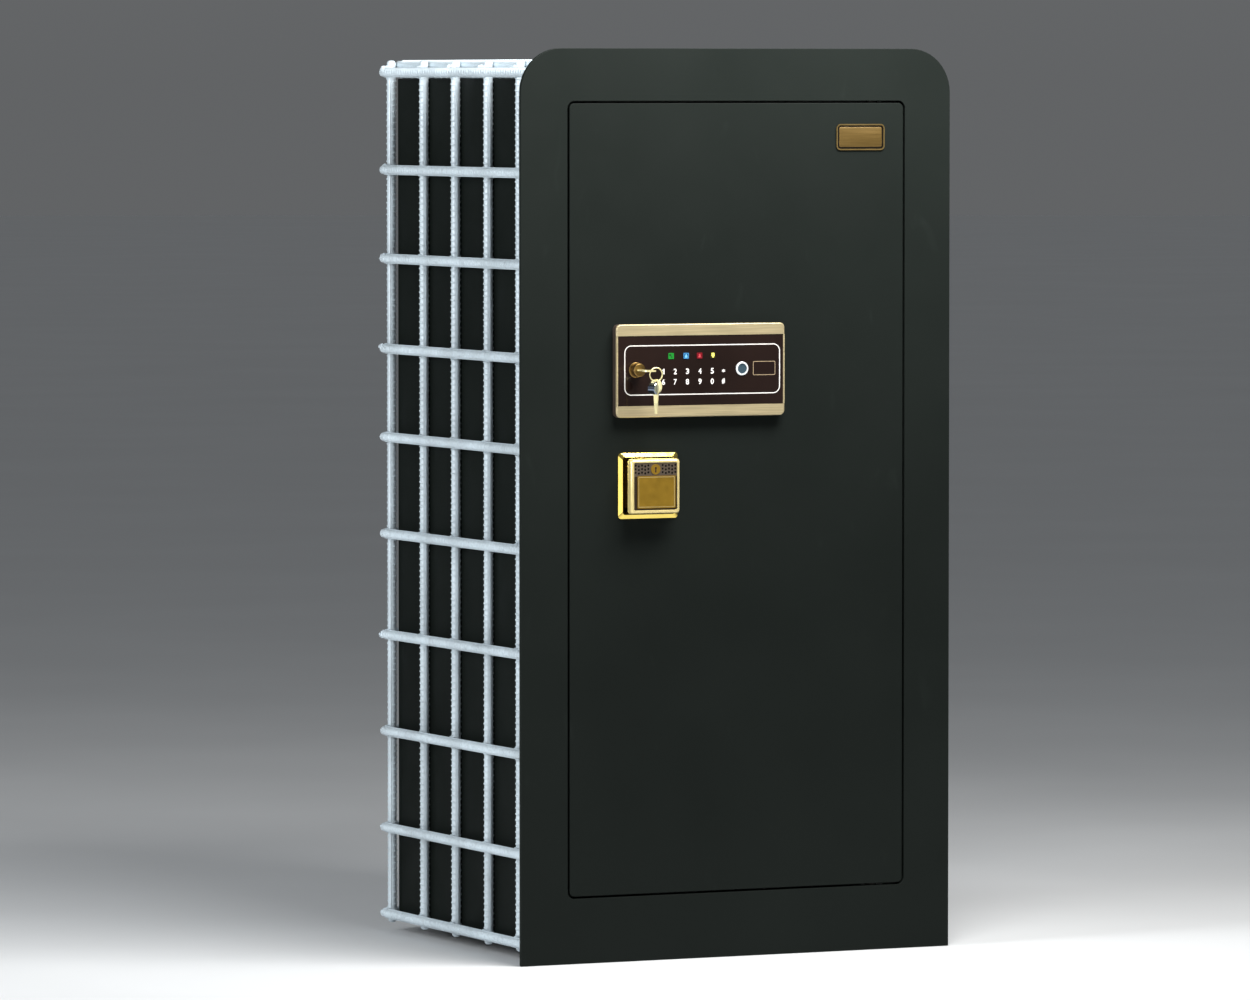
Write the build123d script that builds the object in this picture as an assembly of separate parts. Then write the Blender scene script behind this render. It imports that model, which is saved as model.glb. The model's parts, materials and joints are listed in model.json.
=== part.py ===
from build123d import *
import os
from math import cos, radians, sin, sqrt

# Fireproof safe: a flush door in a broad front plate, a double-walled fire
# body behind it, and a cage of ribbed bars welded round the body.
# Millimetres. X runs to the right, Y to the back, Z up. Every size below is
# measured from the front plate's front face (Y = 0) and from the floor
# (Z = 0). The finished pieces are moved back by FACE_Y, which puts the origin
# under the middle of the whole safe.

# Front plate
PLATE_W = 628.0
PLATE_H = 1200.0
PLATE_T = 6.0
PLATE_CORNER_R = 58.0

# Clearances
SEAT = 0.2
RUN_FIT = 0.05
FREE = 0.3
BOLT_GAP = 0.8

# Small rounds and eased edges
EASE = 0.6
SMALL_R = 1.0

# Door leaf in its opening
DOOR_SIDE = 70.0
DOOR_TOP = 72.0
DOOR_Z0 = 88.5
DOOR_CORNER_R = 7.0
SEAM = 3.0

# Shell and liner
SHELL_SIDE = 40.5
SHELL_TOP = 40.0
SHELL_Z0 = 20.0
SHELL_BACK = 496.3
SHELL_T = 3.0
SHELL_BEND_R = 2.5
SIDE_WALL = 49.5
FLOOR_WALL = 88.0
ROOF_WALL = 52.0
BACK_WALL = 46.3
LINER_T = 2.0
MOUTH_Y = 72.0
FLANGE_T = 2.0

# Shelves
SHELF_HEIGHTS = (440.0, 770.0)
SHELF_T = 1.5
SHELF_LIP = 22.0
SHELF_SIDE_GAP = 1.0
SHELF_FRONT_GAP = 12.0
SHELF_BACK_GAP = 6.0
CLIP_REACH = 12.0
CLIP_T = 2.0
CLIP_W = 18.0
CLIP_DROP = 24.0
CLIP_INSET = 60.0

# Base skids and anchor bolts
SKID_INSET = 93.5
SKID_W = 60.0
SKID_FOOT = 16.0
SKID_T = 4.0
SKID_Y0 = 60.0
SKID_END = 56.3
ANCHOR_HOLE_R = 7.0
ANCHOR_INSET = 50.0
SLEEVE_T = 3.0

# Cage of ribbed bars
BAR_R = 6.0
BAR_RIB_H = 0.65
BAR_RIB_T = 1.6
BAR_RIB_END = 8.0
BAR_TIP = 4.4
BAR_STOP = 3.0
UPRIGHT_Y = (78.0, 180.4, 287.2, 392.2)
UPRIGHT_Z0 = 10.6
UPRIGHT_TOP = 15.0
CROSSBAR_SHARE = (0.0202, 0.1181, 0.2278, 0.3377, 0.4522, 0.5617, 0.6618, 0.7638, 0.864, 0.974)
TOP_BAR_X = (53.0, 160.0)

# Door leaf: pan, fill, mounting plate and inner cover
PAN_EDGE = 8.0
PAN_HINGE_EDGE = 25.0
PAN_T = 2.0
PAN_BACK = 64.0
COVER_T = 2.0
FILL_BACK = 34.0
HINGE_ROOM = 33.0
MOUNTING_T = 2.0
SEAL_T = 2.0
SEAL_Y0 = 10.0
SEAL_Y1 = 22.0

# Hinge on the right, inside the front plate
HINGE_INSET = 40.0
HINGE_Y = 14.0
HINGE_PIN_R = 6.0
HINGE_BLOCK_H = 24.0
HINGE_BLOCK_HALF = 11.0
BEARING_HALF = 12.0
BEARING_END = 8.5
BEARING_Y1 = 26.0
BEARING_H = 18.0
BEARING_STEP = 2.0
THRUST_WALL = 1.6
DEAD_BAR_END = 14.5
DEAD_BAR_Y0 = 26.0
DEAD_BAR_Y1 = 34.0
DEAD_BAR_TAIL = 24.0
DEAD_BAR_LEN = 380.0

# Keeper angles welded behind the front plate
KEEPER_STEP = 0.5
KEEPER_W = 14.5
KEEPER_T = 3.0
HINGE_KEEPER_Y1 = 24.0

# Bolt work
KNOB_INSET = 112.3
KNOB_Z = 626.4
SPINDLE_R = 6.0
SPINDLE_BUSH_T = 3.0
BUSH_FLANGE_R = 13.0
BUSH_FLANGE_T = 3.4
CAM_R = 61.0
CAM_Y0 = 40.0
CAM_T = 4.0
CAM_TURN = 90.0
CAM_HUB_R = 11.0
CAM_NOTCH_W = 7.2
CAM_NOTCH_D = 6.0
SLOT_ANGLES = (90.0, 180.0, 270.0)
SLOT_STEPS = 12
BOLT_THROW = 26.0
PIN_R = 4.0
PIN_START = 24.0
SLIDE_GAP = 2.0
SLIDE_T = 4.0
SLIDE_W = 20.0
CARRIAGE_T = 6.0
CARRIAGE_D = 22.0
CARRIAGE_END = 28.0
BOLT_R = 10.0
BOLT_NOSE = 2.5
BOLT_PROUD = 1.0
BOLT_SPIGOT_R = 5.0
SIDE_BOLT_SHARE = (0.155, 0.386, 0.646, 0.877)
GUIDE_T = 6.0
GUIDE_H = 44.0
ROD_BOLT_L = 52.0
STRAP_T = 2.0
STRAP_W = 22.0
STRAP_OFFSET = 300.0

# Solenoid that blocks the cam, set at an angle below the knob
SOLENOID_ANGLE = -45.0
PLUNGER_R = 3.0
PLUNGER_STROKE = 5.0
PLUNGER_CLEAR = 1.0
PLUNGER_L = 30.0
SOLENOID_W = 18.0
SOLENOID_L = 34.0

# Square knob on the front
ROSE_W = 86.2
ROSE_T = 4.5
ROSE_EDGE = 1.5
ROSE_SLOPE = 5.5
ROSE_CORNER_R = 4.0
KNOB_NECK_W = 60.0
KNOB_NECK_T = 3.0
KNOB_BLOCK_W = 72.0
KNOB_FACE_W = 65.6
KNOB_SKIRT_T = 8.5
KNOB_STAND = 26.0
KNOB_CORNER_R = 4.0
KNOB_POCKET_W = 62.4
KNOB_POCKET_D = 2.6
INSERT_T = 1.4
HONEY_STRIP_H = 17.1
HONEY_CELL_R = 1.6
HONEY_PITCH = 4.6
HONEY_START = 3.45
HONEY_RISE = 0.6
PLATE_INSET = 4.6
PLATE_STEP = 0.7
DISC_R = 6.9

# Keypad panel
PANEL_INSET = 61.9
PANEL_W = 245.0
PANEL_ABOVE_KNOB = 47.0
PANEL_H = 122.0
PANEL_CORNER_R = 6.5
PANEL_BASE_T = 9.0
BAND_H = 15.0
BAND_T = 3.2
BAND_BEVEL = 1.2
SIDE_RIM_W = 2.2
SIDE_RIM_T = 2.9
WINDOW_T = 2.6
LENS_W = 8.0
LENS_T = 0.5
LENS_FROM_LEFT = (78.9, 100.8, 120.4, 139.8)
LENS_RISE = 80.1
SENSOR_FROM_LEFT = 182.5
SENSOR_RISE = 62.2
SENSOR_R = 9.0
SENSOR_RIM = 2.3
SENSOR_T = 1.2
SENSOR_LENS_T = 0.5
CABLE_HOLE_R = 6.0

# Key lock, key, ring and spare key
LOCK_FROM_LEFT = 27.7
LOCK_RISE = 62.5
BARREL_R = 8.5
BARREL_STAND = 26.0
ESCUTCHEON_R = 10.0
ESCUTCHEON_T = 2.4
PLUG_R = 6.0
PLUG_BACK = 41.5
KEYWAY_DEPTH = 24.0
BLADE_W = 7.6
BLADE_T = 2.0
KEY_FREE = 0.15
NECK_W = 6.0
BOW_R = 9.0
BOW_HOLE_R = 3.2
BOW_HOLE_RIM = 2.3
KEY_TIP = 62.5
LOCK_CAM_L = 18.0
LOCK_CAM_W = 10.0
LOCK_CAM_T = 2.4
RING_R = 8.9
RING_WIRE_R = 0.9
RING_DROP = 4.8
RING_LEAN = 0.85
SPARE_TURN = -65.0
SPARE_BOW_R = 9.5
SPARE_T = 2.0
SPARE_HOLE_R = 3.2
SPARE_HOLE_RIM = 1.6
SPARE_BLADE_L = 28.0
SPARE_BLADE_W = 7.6
SPARE_TIP_W = 3.4
CAP_R = 7.7
CAP_L = 11.0
CAP_SHIFT = 2.5
CAP_DROP = 2.8

# Badge plate and parts inside the door
BADGE_SIDE = 28.3
BADGE_W = 71.3
BADGE_TOP = 27.7
BADGE_H = 34.7
BADGE_T = 1.6
BADGE_RIM = 1.8
BADGE_RECESS = 0.6
BADGE_CORNER_R = 6.0
BATTERY_X0 = 20.0
BATTERY_W = 92.0
BATTERY_BELOW_PANEL = 16.5
BATTERY_H = 66.0
BATTERY_T = 20.0
BATTERY_LID_T = 2.0
BOARD_X0 = -70.0
BOARD_W = 70.0
BOARD_RISE = 23.5
BOARD_H = 80.0
BOARD_T = 1.6
STANDOFF_H = 5.0
STANDOFF_R = 3.0
STANDOFF_INSET = 6.0

# Places worked out from the sizes above
DOOR_W = PLATE_W - 2 * DOOR_SIDE
DOOR_H = PLATE_H - DOOR_Z0 - DOOR_TOP
SHELL_W = PLATE_W - 2 * SHELL_SIDE
SHELL_Z1 = PLATE_H - SHELL_TOP
CAVITY_W = SHELL_W - 2 * SIDE_WALL
CAVITY_Z0 = SHELL_Z0 + FLOOR_WALL
CAVITY_Z1 = SHELL_Z1 - ROOF_WALL
CAVITY_BACK = SHELL_BACK - BACK_WALL
OPEN_W = DOOR_W + 2 * SEAM
OPEN_H = DOOR_H + 2 * SEAM
OPEN_Z0 = DOOR_Z0 - SEAM
OPEN_Z1 = OPEN_Z0 + OPEN_H
DOOR_Z1 = DOOR_Z0 + DOOR_H
DOOR_MID_Z = DOOR_Z0 + DOOR_H / 2
PAN_X0 = PAN_EDGE - DOOR_W / 2
PAN_X1 = DOOR_W / 2 - PAN_HINGE_EDGE
PAN_Z0 = DOOR_Z0 + PAN_EDGE
PAN_Z1 = DOOR_Z1 - PAN_EDGE
BEHIND_PLATE = PLATE_T + SEAT
CAVITY_Y0 = MOUTH_Y + FLANGE_T + SEAT
SHELL_IN_X = SHELL_W / 2 - SHELL_T
SHELL_IN_BACK = SHELL_BACK - SHELL_T
SKID_X = SHELL_W / 2 - SKID_INSET
SKID_Y1 = SHELL_BACK - SKID_END
ANCHOR_Y = (SKID_Y0 + ANCHOR_INSET, SKID_Y1 - ANCHOR_INSET)
FILL_X1 = PAN_X1 - HINGE_ROOM
HINGE_X = DOOR_W / 2 - HINGE_INSET
BEARING_X0 = HINGE_X - BEARING_HALF
BEARING_X1 = SHELL_IN_X - BEARING_END
DEAD_BAR_X1 = SHELL_IN_X - DEAD_BAR_END
LINER_OUT_X = CAVITY_W / 2 + LINER_T
LINER_OUT_BACK = CAVITY_BACK + LINER_T
UPRIGHT_X = SHELL_W / 2 + SEAT + BAR_R
CROSSBAR_X = UPRIGHT_X + 2 * BAR_R + SEAT
CROSSBAR_Z = tuple(share * PLATE_H for share in CROSSBAR_SHARE)
UPRIGHT_Z1 = PLATE_H - UPRIGHT_TOP
REAR_UPRIGHT_Y = SHELL_BACK + SEAT + BAR_R
REAR_CROSSBAR_Y = REAR_UPRIGHT_Y + 2 * BAR_R + SEAT
TOP_CROSSBAR_Z = SHELL_Z1 + SEAT + BAR_R
TOP_BAR_Z = TOP_CROSSBAR_Z + 2 * BAR_R + SEAT
CAGE_BACK = REAR_CROSSBAR_Y + BAR_R
CHAMBER_Y0 = FILL_BACK + SEAT + MOUNTING_T + SEAT
KNOB_X = KNOB_INSET - DOOR_W / 2
CAM_Y1 = CAM_Y0 + CAM_T
SLIDE_Y0 = CAM_Y1 + SLIDE_GAP
SLIDE_Y1 = SLIDE_Y0 + SLIDE_T
SLIDE_MID_Y = (SLIDE_Y0 + SLIDE_Y1) / 2
CARRIAGE_X1 = KNOB_X - CAM_R - SLIDE_GAP
CARRIAGE_X0 = CARRIAGE_X1 - CARRIAGE_T
KEEPER_Y1 = SLIDE_MID_Y - BOLT_R - BOLT_GAP
SIDE_BOLT_Z = tuple(DOOR_Z0 + share * DOOR_H for share in SIDE_BOLT_SHARE)
PANEL_X0 = PANEL_INSET - DOOR_W / 2
PANEL_Z0 = KNOB_Z + ROSE_W / 2 + PANEL_ABOVE_KNOB
LENS_X = tuple(PANEL_X0 + x for x in LENS_FROM_LEFT)
LENS_Z = PANEL_Z0 + LENS_RISE
SENSOR_X = PANEL_X0 + SENSOR_FROM_LEFT
SENSOR_Z = PANEL_Z0 + SENSOR_RISE
LOCK_X = PANEL_X0 + LOCK_FROM_LEFT
LOCK_Z = PANEL_Z0 + LOCK_RISE
BADGE_X0 = DOOR_W / 2 - BADGE_SIDE - BADGE_W
BADGE_Z0 = DOOR_Z1 - BADGE_TOP - BADGE_H
BATTERY_Z0 = PANEL_Z0 - BATTERY_BELOW_PANEL
BOARD_Z0 = PANEL_Z0 + BOARD_RISE
WINDOW_Z0 = PANEL_Z0 + BAND_H
WINDOW_Z1 = PANEL_Z0 + PANEL_H - BAND_H
WINDOW_FACE = PANEL_BASE_T + SEAT + WINDOW_T
BOW_HOLE_Y = BOW_HOLE_R + BOW_HOLE_RIM - KEY_TIP
RING_HINGE_X = LOCK_X + RING_LEAN
RING_X = RING_HINGE_X + sqrt(RING_R ** 2 - RING_DROP ** 2)
RING_Z = LOCK_Z - RING_DROP
SPARE_REACH = SPARE_BOW_R * sin(radians(-SPARE_TURN)) + SPARE_T / 2 * cos(radians(SPARE_TURN))
FACE_Y = (max(KEY_TIP, SPARE_REACH - BOW_HOLE_Y) - CAGE_BACK) / 2
SPARE_HINGE_Z = RING_Z - RING_R
SPARE_HOLE_Z = SPARE_HINGE_Z - (SPARE_HOLE_R - RING_WIRE_R - FREE)


def block(x0, x1, y0, y1, z0, z1):
    """Box between two corners."""
    middle = Pos((x0 + x1) / 2, (y0 + y1) / 2, (z0 + z1) / 2)
    return middle * Box(x1 - x0, y1 - y0, z1 - z0)


def plate(outline, y0, y1):
    """Outline drawn in X and Z, as thick as from y0 to y1."""
    return extrude(Plane.XZ.offset(-y1) * outline, amount=y1 - y0)


def round_y(radius, x, z, y0, y1):
    """Round bar along Y."""
    return plate(Pos(x, z) * Circle(radius), y0, y1)


def round_z(radius, x, y, z0, z1):
    """Round bar along Z."""
    return extrude(Plane.XY.offset(z0) * Pos(x, y) * Circle(radius), amount=z1 - z0)


def round_x(radius, y, z, x0, x1):
    """Round bar along X."""
    return extrude(Plane.YZ.offset(x0) * Pos(y, z) * Circle(radius), amount=x1 - x0)


def panel(x0, x1, z0, z1, radius):
    """Rectangle in X and Z with round corners."""
    return Pos((x0 + x1) / 2, (z0 + z1) / 2) * RectangleRounded(x1 - x0, z1 - z0, radius)


def save(node, *solids):
    """One STEP file for each named piece, with the origin under the middle."""
    pieces = []
    for solid in solids:
        pieces += solid.solids()
    moved = [Pos(0, FACE_Y, 0) * piece for piece in pieces]
    export_step(moved[0] if len(moved) == 1 else Compound(children=moved), f"parts/{node}.step")


# Front plate, keepers and hinge bearings

def front_frame():
    outline = Pos(0, PLATE_H / 2) * Rectangle(PLATE_W, PLATE_H)
    outline = fillet(outline.vertices().sort_by(Axis.Y)[-2:], PLATE_CORNER_R)
    opening = panel(-OPEN_W / 2, OPEN_W / 2, OPEN_Z0, OPEN_Z1, DOOR_CORNER_R + SEAM)
    return plate(outline - opening, 0, PLATE_T)


def side_keeper():
    """Left keeper angle: the side bolts lock behind its lip."""
    depth = KEEPER_Y1 - BEHIND_PLATE
    leg = Rectangle(KEEPER_T, depth, align=(Align.MAX, Align.MIN))
    lip = Pos(0, depth - KEEPER_T) * Rectangle(KEEPER_W, KEEPER_T, align=(Align.MAX, Align.MIN))
    section = Pos(-OPEN_W / 2 - KEEPER_STEP, BEHIND_PLATE) * (leg + lip)
    return extrude(Plane.XY.offset(OPEN_Z0) * section, amount=OPEN_H)


def end_keeper(top):
    """Keeper angle above or below the opening, for the top and bottom bolts."""
    depth = KEEPER_Y1 - BEHIND_PLATE
    leg = Rectangle(depth, KEEPER_T, align=(Align.MIN, Align.MIN))
    lip = Pos(depth - KEEPER_T, 0) * Rectangle(KEEPER_T, KEEPER_W, align=(Align.MIN, Align.MIN))
    length = BEARING_X0 - SEAT + OPEN_W / 2
    bar = extrude(Plane.YZ.offset(-OPEN_W / 2) * Pos(BEHIND_PLATE, 0) * (leg + lip), amount=length)
    if top:
        return Pos(0, 0, OPEN_Z1 + KEEPER_STEP) * bar
    return Pos(0, 0, OPEN_Z0 - KEEPER_STEP) * mirror(bar, Plane.XY)


def hinge_keeper():
    """Plain bar on the hinge side; the dead bar hooks behind it."""
    x0 = OPEN_W / 2 + KEEPER_STEP
    return block(x0, x0 + KEEPER_W, BEHIND_PLATE, HINGE_KEEPER_Y1, OPEN_Z0, OPEN_Z1)


def hinge_bearing(top):
    z0 = OPEN_Z1 + BEARING_STEP if top else OPEN_Z0 - BEARING_STEP - BEARING_H
    body = block(BEARING_X0, BEARING_X1, BEHIND_PLATE, BEARING_Y1, z0, z0 + BEARING_H)
    return body - round_z(HINGE_PIN_R + RUN_FIT, HINGE_X, HINGE_Y, z0, z0 + BEARING_H)


# Body: shell, liner, fill, shelves and base

def shell_side(sign):
    x1 = sign * SHELL_W / 2
    x0 = sign * SHELL_IN_X
    sheet = block(min(x0, x1), max(x0, x1), BEHIND_PLATE, SHELL_BACK, SHELL_Z0, SHELL_Z1)
    edge = sheet.edges().filter_by(Axis.Z).sort_by(Axis.Y)[-2:].sort_by(Axis.X)
    return fillet(edge[-1] if sign > 0 else edge[0], SHELL_BEND_R)


def shell_level(z0):
    half = SHELL_IN_X - SEAT
    return block(-half, half, BEHIND_PLATE, SHELL_BACK, z0, z0 + SHELL_T)


def shell_floor():
    return drill_anchors(shell_level(SHELL_Z0), ANCHOR_HOLE_R)


def shell_back():
    half = SHELL_IN_X - SEAT
    z0 = SHELL_Z0 + SHELL_T + SEAT
    z1 = SHELL_Z1 - SHELL_T - SEAT
    return block(-half, half, SHELL_IN_BACK, SHELL_BACK, z0, z1)


def drill_anchors(solid, radius):
    """The four vertical holes for floor anchors."""
    for x in (-SKID_X, SKID_X):
        for y in ANCHOR_Y:
            solid -= round_z(radius, x, y, 0, CAVITY_Z0)
    return solid


def inner_liner():
    """Five welded sheets round the cavity."""
    half = CAVITY_W / 2
    z0 = CAVITY_Z0 - LINER_T
    z1 = CAVITY_Z1 + LINER_T
    left = block(-LINER_OUT_X, -half, CAVITY_Y0, LINER_OUT_BACK, z0, z1)
    right = block(half, LINER_OUT_X, CAVITY_Y0, LINER_OUT_BACK, z0, z1)
    inside = half - SEAT
    floor = block(-inside, inside, CAVITY_Y0, LINER_OUT_BACK, z0, CAVITY_Z0)
    roof = block(-inside, inside, CAVITY_Y0, LINER_OUT_BACK, CAVITY_Z1, z1)
    back = block(-inside, inside, CAVITY_BACK, LINER_OUT_BACK, CAVITY_Z0 + SEAT, CAVITY_Z1 - SEAT)
    return [left, right, drill_anchors(floor, ANCHOR_HOLE_R), roof, back]


def fire_fill():
    """Cast slabs between shell and liner."""
    x_out = SHELL_IN_X - SEAT
    x_in = LINER_OUT_X + SEAT
    z_low = SHELL_Z0 + SHELL_T + SEAT
    z_high = SHELL_Z1 - SHELL_T - SEAT
    z_floor = CAVITY_Z0 - LINER_T - SEAT
    z_roof = CAVITY_Z1 + LINER_T + SEAT
    y_back = SHELL_IN_BACK - SEAT
    left = block(-x_out, -x_in, CAVITY_Y0, y_back, z_low, z_high)
    right = block(x_in, x_out, CAVITY_Y0, y_back, z_low, z_high)
    inside = x_in - SEAT
    floor = block(-inside, inside, CAVITY_Y0, y_back, z_low, z_floor)
    roof = block(-inside, inside, CAVITY_Y0, y_back, z_roof, z_high)
    back = block(-inside, inside, LINER_OUT_BACK + SEAT, y_back, z_floor + SEAT, z_roof - SEAT)
    return [left, right, drill_anchors(floor, ANCHOR_HOLE_R + SLEEVE_T + SEAT), roof, back]


def stop_flange():
    """Four strips that close the fill round the mouth and stop the door."""
    x_out = SHELL_IN_X - SEAT
    half = CAVITY_W / 2
    z_low = SHELL_Z0 + SHELL_T + SEAT
    z_high = SHELL_Z1 - SHELL_T - SEAT
    y1 = MOUTH_Y + FLANGE_T
    left = block(-x_out, -half, MOUTH_Y, y1, z_low, z_high)
    right = block(half, x_out, MOUTH_Y, y1, z_low, z_high)
    inside = half - SEAT
    low = block(-inside, inside, MOUTH_Y, y1, z_low, CAVITY_Z0)
    high = block(-inside, inside, MOUTH_Y, y1, CAVITY_Z1, z_high)
    return [left, right, low, high]


def anchor_sleeves():
    z0 = SHELL_Z0 + SHELL_T + SEAT
    z1 = CAVITY_Z0 - LINER_T - SEAT
    sleeves = []
    for x in (-SKID_X, SKID_X):
        for y in ANCHOR_Y:
            tube = round_z(ANCHOR_HOLE_R + SLEEVE_T, x, y, z0, z1)
            sleeves.append(tube - round_z(ANCHOR_HOLE_R, x, y, z0, z1))
    return sleeves


def base_skid(x):
    """Folded hat section with two feet, open underneath."""
    half = SKID_W / 2
    top = SHELL_Z0 - SEAT
    outline = Pos(0, top / 2) * Rectangle(SKID_W, top)
    outline += Pos(0, SKID_T / 2) * Rectangle(SKID_W + 2 * SKID_FOOT, SKID_T)
    outline -= Pos(0, (top - SKID_T) / 2) * Rectangle(2 * (half - SKID_T), top - SKID_T)
    bar = plate(Pos(x, 0) * outline, SKID_Y0, SKID_Y1)
    return drill_anchors(bar, ANCHOR_HOLE_R)


def shelf(z):
    """Folded tray with a lip at the front, as deep as the cavity."""
    half = CAVITY_W / 2 - SHELF_SIDE_GAP
    y0 = CAVITY_Y0 + SHELF_FRONT_GAP
    y1 = CAVITY_BACK - SHELF_BACK_GAP
    deck = block(-half, half, y0, y1, z - SHELF_T, z)
    lip = block(-half, half, y0, y0 + SHELF_T, z - SHELF_LIP, z)
    rear = block(-half, half, y1 - SHELF_T, y1, z - SHELF_LIP, z)
    return deck + lip + rear


def shelf_clips():
    """Angle clips on the liner's walls, four to a shelf."""
    clips = []
    for z in SHELF_HEIGHTS:
        top = z - SHELF_T - SEAT
        for y in (CAVITY_Y0 + CLIP_INSET, CAVITY_BACK - CLIP_INSET):
            for sign in (-1, 1):
                wall = sign * (CAVITY_W / 2 - SEAT)
                reach = wall - sign * CLIP_REACH
                face = wall - sign * CLIP_T
                y0 = y - CLIP_W / 2
                y1 = y + CLIP_W / 2
                ledge = block(min(wall, reach), max(wall, reach), y0, y1, top - CLIP_T, top)
                leg = block(min(wall, face), max(wall, face), y0, y1, top - CLIP_DROP, top)
                clips.append(ledge + leg)
    return clips


# Cage of ribbed bars

def ribbed_bar(length):
    """Bar along Z from its lower end, with rounded ends and its two long ribs in X."""
    core = Cylinder(BAR_R, length, align=(Align.CENTER, Align.CENTER, Align.MIN))
    core = fillet(core.edges().filter_by(GeomType.CIRCLE), BAR_TIP)
    rib = Box(2 * (BAR_R + BAR_RIB_H), BAR_RIB_T, length - 2 * BAR_RIB_END)
    return core + Pos(0, 0, length / 2) * rib


def bar_along_y(length):
    """Ribbed bar from Y = 0 backward."""
    return Rot(-90, 0, 0) * ribbed_bar(length)


def side_uprights(sign):
    bar = ribbed_bar(UPRIGHT_Z1 - UPRIGHT_Z0)
    bars = [Pos(sign * UPRIGHT_X, y, UPRIGHT_Z0) * Rot(0, 0, 90) * bar for y in UPRIGHT_Y]
    corner = Pos(sign * UPRIGHT_X, REAR_UPRIGHT_Y, UPRIGHT_Z0) * Rot(0, 0, 45) * bar
    return bars + [corner]


def side_crossbars(sign):
    start = PLATE_T + FREE
    bar = Rot(0, 90, 0) * bar_along_y(REAR_UPRIGHT_Y + BAR_R - BAR_STOP - start)
    return [Pos(sign * CROSSBAR_X, start, z) * bar for z in CROSSBAR_Z]


def rear_uprights():
    top = TOP_BAR_Z - BAR_R - SEAT
    bar = ribbed_bar(top - UPRIGHT_Z0)
    places = [sign * x for x in TOP_BAR_X for sign in (-1, 1)]
    return [Pos(x, REAR_UPRIGHT_Y, UPRIGHT_Z0) * bar for x in places]


def rear_crossbars():
    half = CROSSBAR_X - BAR_R - SEAT
    bar = Rot(0, 90, 0) * ribbed_bar(2 * half)
    return [Pos(-half, REAR_CROSSBAR_Y, z) * bar for z in CROSSBAR_Z]


def top_crossbars():
    half = UPRIGHT_X - BAR_R - SEAT
    bar = Rot(0, 90, 0) * Rot(0, 0, 90) * ribbed_bar(2 * half)
    places = UPRIGHT_Y + (SHELL_BACK - BAR_R - BAR_RIB_H - SEAT,)
    return [Pos(-half, y, TOP_CROSSBAR_Z) * bar for y in places]


def top_depth_bars():
    start = PLATE_T + FREE
    bar = bar_along_y(REAR_UPRIGHT_Y + BAR_R - start)
    outer = UPRIGHT_X - 2 * BAR_R - BAR_RIB_H - SEAT
    places = [sign * x for x in TOP_BAR_X + (outer,) for sign in (-1, 1)]
    return [Pos(x, start, TOP_BAR_Z) * bar for x in places]


# Door leaf

def door_plate():
    outline = panel(-DOOR_W / 2, DOOR_W / 2, DOOR_Z0, DOOR_Z1, DOOR_CORNER_R)
    outline -= Pos(KNOB_X, KNOB_Z) * Circle(SPINDLE_R + SPINDLE_BUSH_T + SEAT)
    outline -= Pos(LOCK_X, LOCK_Z) * Circle(BARREL_R + SEAT)
    outline -= Pos(SENSOR_X, SENSOR_Z) * Circle(CABLE_HOLE_R)
    leaf = plate(outline, 0, PLATE_T)
    return chamfer(leaf.faces().sort_by(Axis.Y)[0].outer_wire().edges(), EASE)


def door_fill():
    outline = panel(PAN_X0 + PAN_T + SEAT, FILL_X1, PAN_Z0 + PAN_T + SEAT, PAN_Z1 - PAN_T - SEAT, PAN_T)
    outline -= Pos(KNOB_X, KNOB_Z) * Circle(SPINDLE_R + SPINDLE_BUSH_T + SEAT)
    outline -= Pos(LOCK_X, LOCK_Z) * Circle(BARREL_R + SEAT)
    outline -= Pos(SENSOR_X, SENSOR_Z) * Circle(CABLE_HOLE_R)
    return plate(outline, BEHIND_PLATE, FILL_BACK)


def pan_side(x0):
    return block(x0, x0 + PAN_T, BEHIND_PLATE, PAN_BACK, PAN_Z0, PAN_Z1)


def pan_end(z0):
    inside0 = PAN_X0 + PAN_T + SEAT
    inside1 = PAN_X1 - PAN_T - SEAT
    sheet = block(inside0, inside1, BEHIND_PLATE, PAN_BACK, z0, z0 + PAN_T)
    sheet -= round_z(HINGE_PIN_R + FREE, HINGE_X, HINGE_Y, z0, z0 + PAN_T)
    return sheet - round_z(BOLT_R + FREE, KNOB_X, SLIDE_MID_Y, z0, z0 + PAN_T)


def door_pan():
    """Four welded walls that carry the fill, the bolt work and the cover."""
    left = pan_side(PAN_X0)
    for z in SIDE_BOLT_Z:
        left -= round_x(BOLT_R + FREE, SLIDE_MID_Y, z, PAN_X0, PAN_X0 + PAN_T)
    right = pan_side(PAN_X1 - PAN_T)
    right -= block(PAN_X1 - PAN_T, PAN_X1, DEAD_BAR_Y0 - SEAT, DEAD_BAR_Y1 + SEAT,
                   DOOR_MID_Z - DEAD_BAR_LEN / 2 - SEAT, DOOR_MID_Z + DEAD_BAR_LEN / 2 + SEAT)
    return [left, right, pan_end(PAN_Z0), pan_end(PAN_Z1 - PAN_T)]


def mounting_plate():
    outline = panel(PAN_X0 + PAN_T + SEAT, FILL_X1, PAN_Z0 + PAN_T + SEAT, PAN_Z1 - PAN_T - SEAT, PAN_T)
    outline -= Pos(KNOB_X, KNOB_Z) * Circle(SPINDLE_R + SPINDLE_BUSH_T + SEAT)
    outline -= Pos(LOCK_X, LOCK_Z) * Circle(BARREL_R + SEAT)
    outline -= Pos(SENSOR_X, SENSOR_Z) * Circle(CABLE_HOLE_R)
    y0 = FILL_BACK + SEAT
    return plate(outline, y0, y0 + MOUNTING_T)


def door_cover():
    """Flat inner cover over the bolt chamber."""
    outline = panel(PAN_X0, PAN_X1, PAN_Z0, PAN_Z1, PAN_T)
    y0 = PAN_BACK + SEAT
    return plate(outline, y0, y0 + COVER_T)


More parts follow.
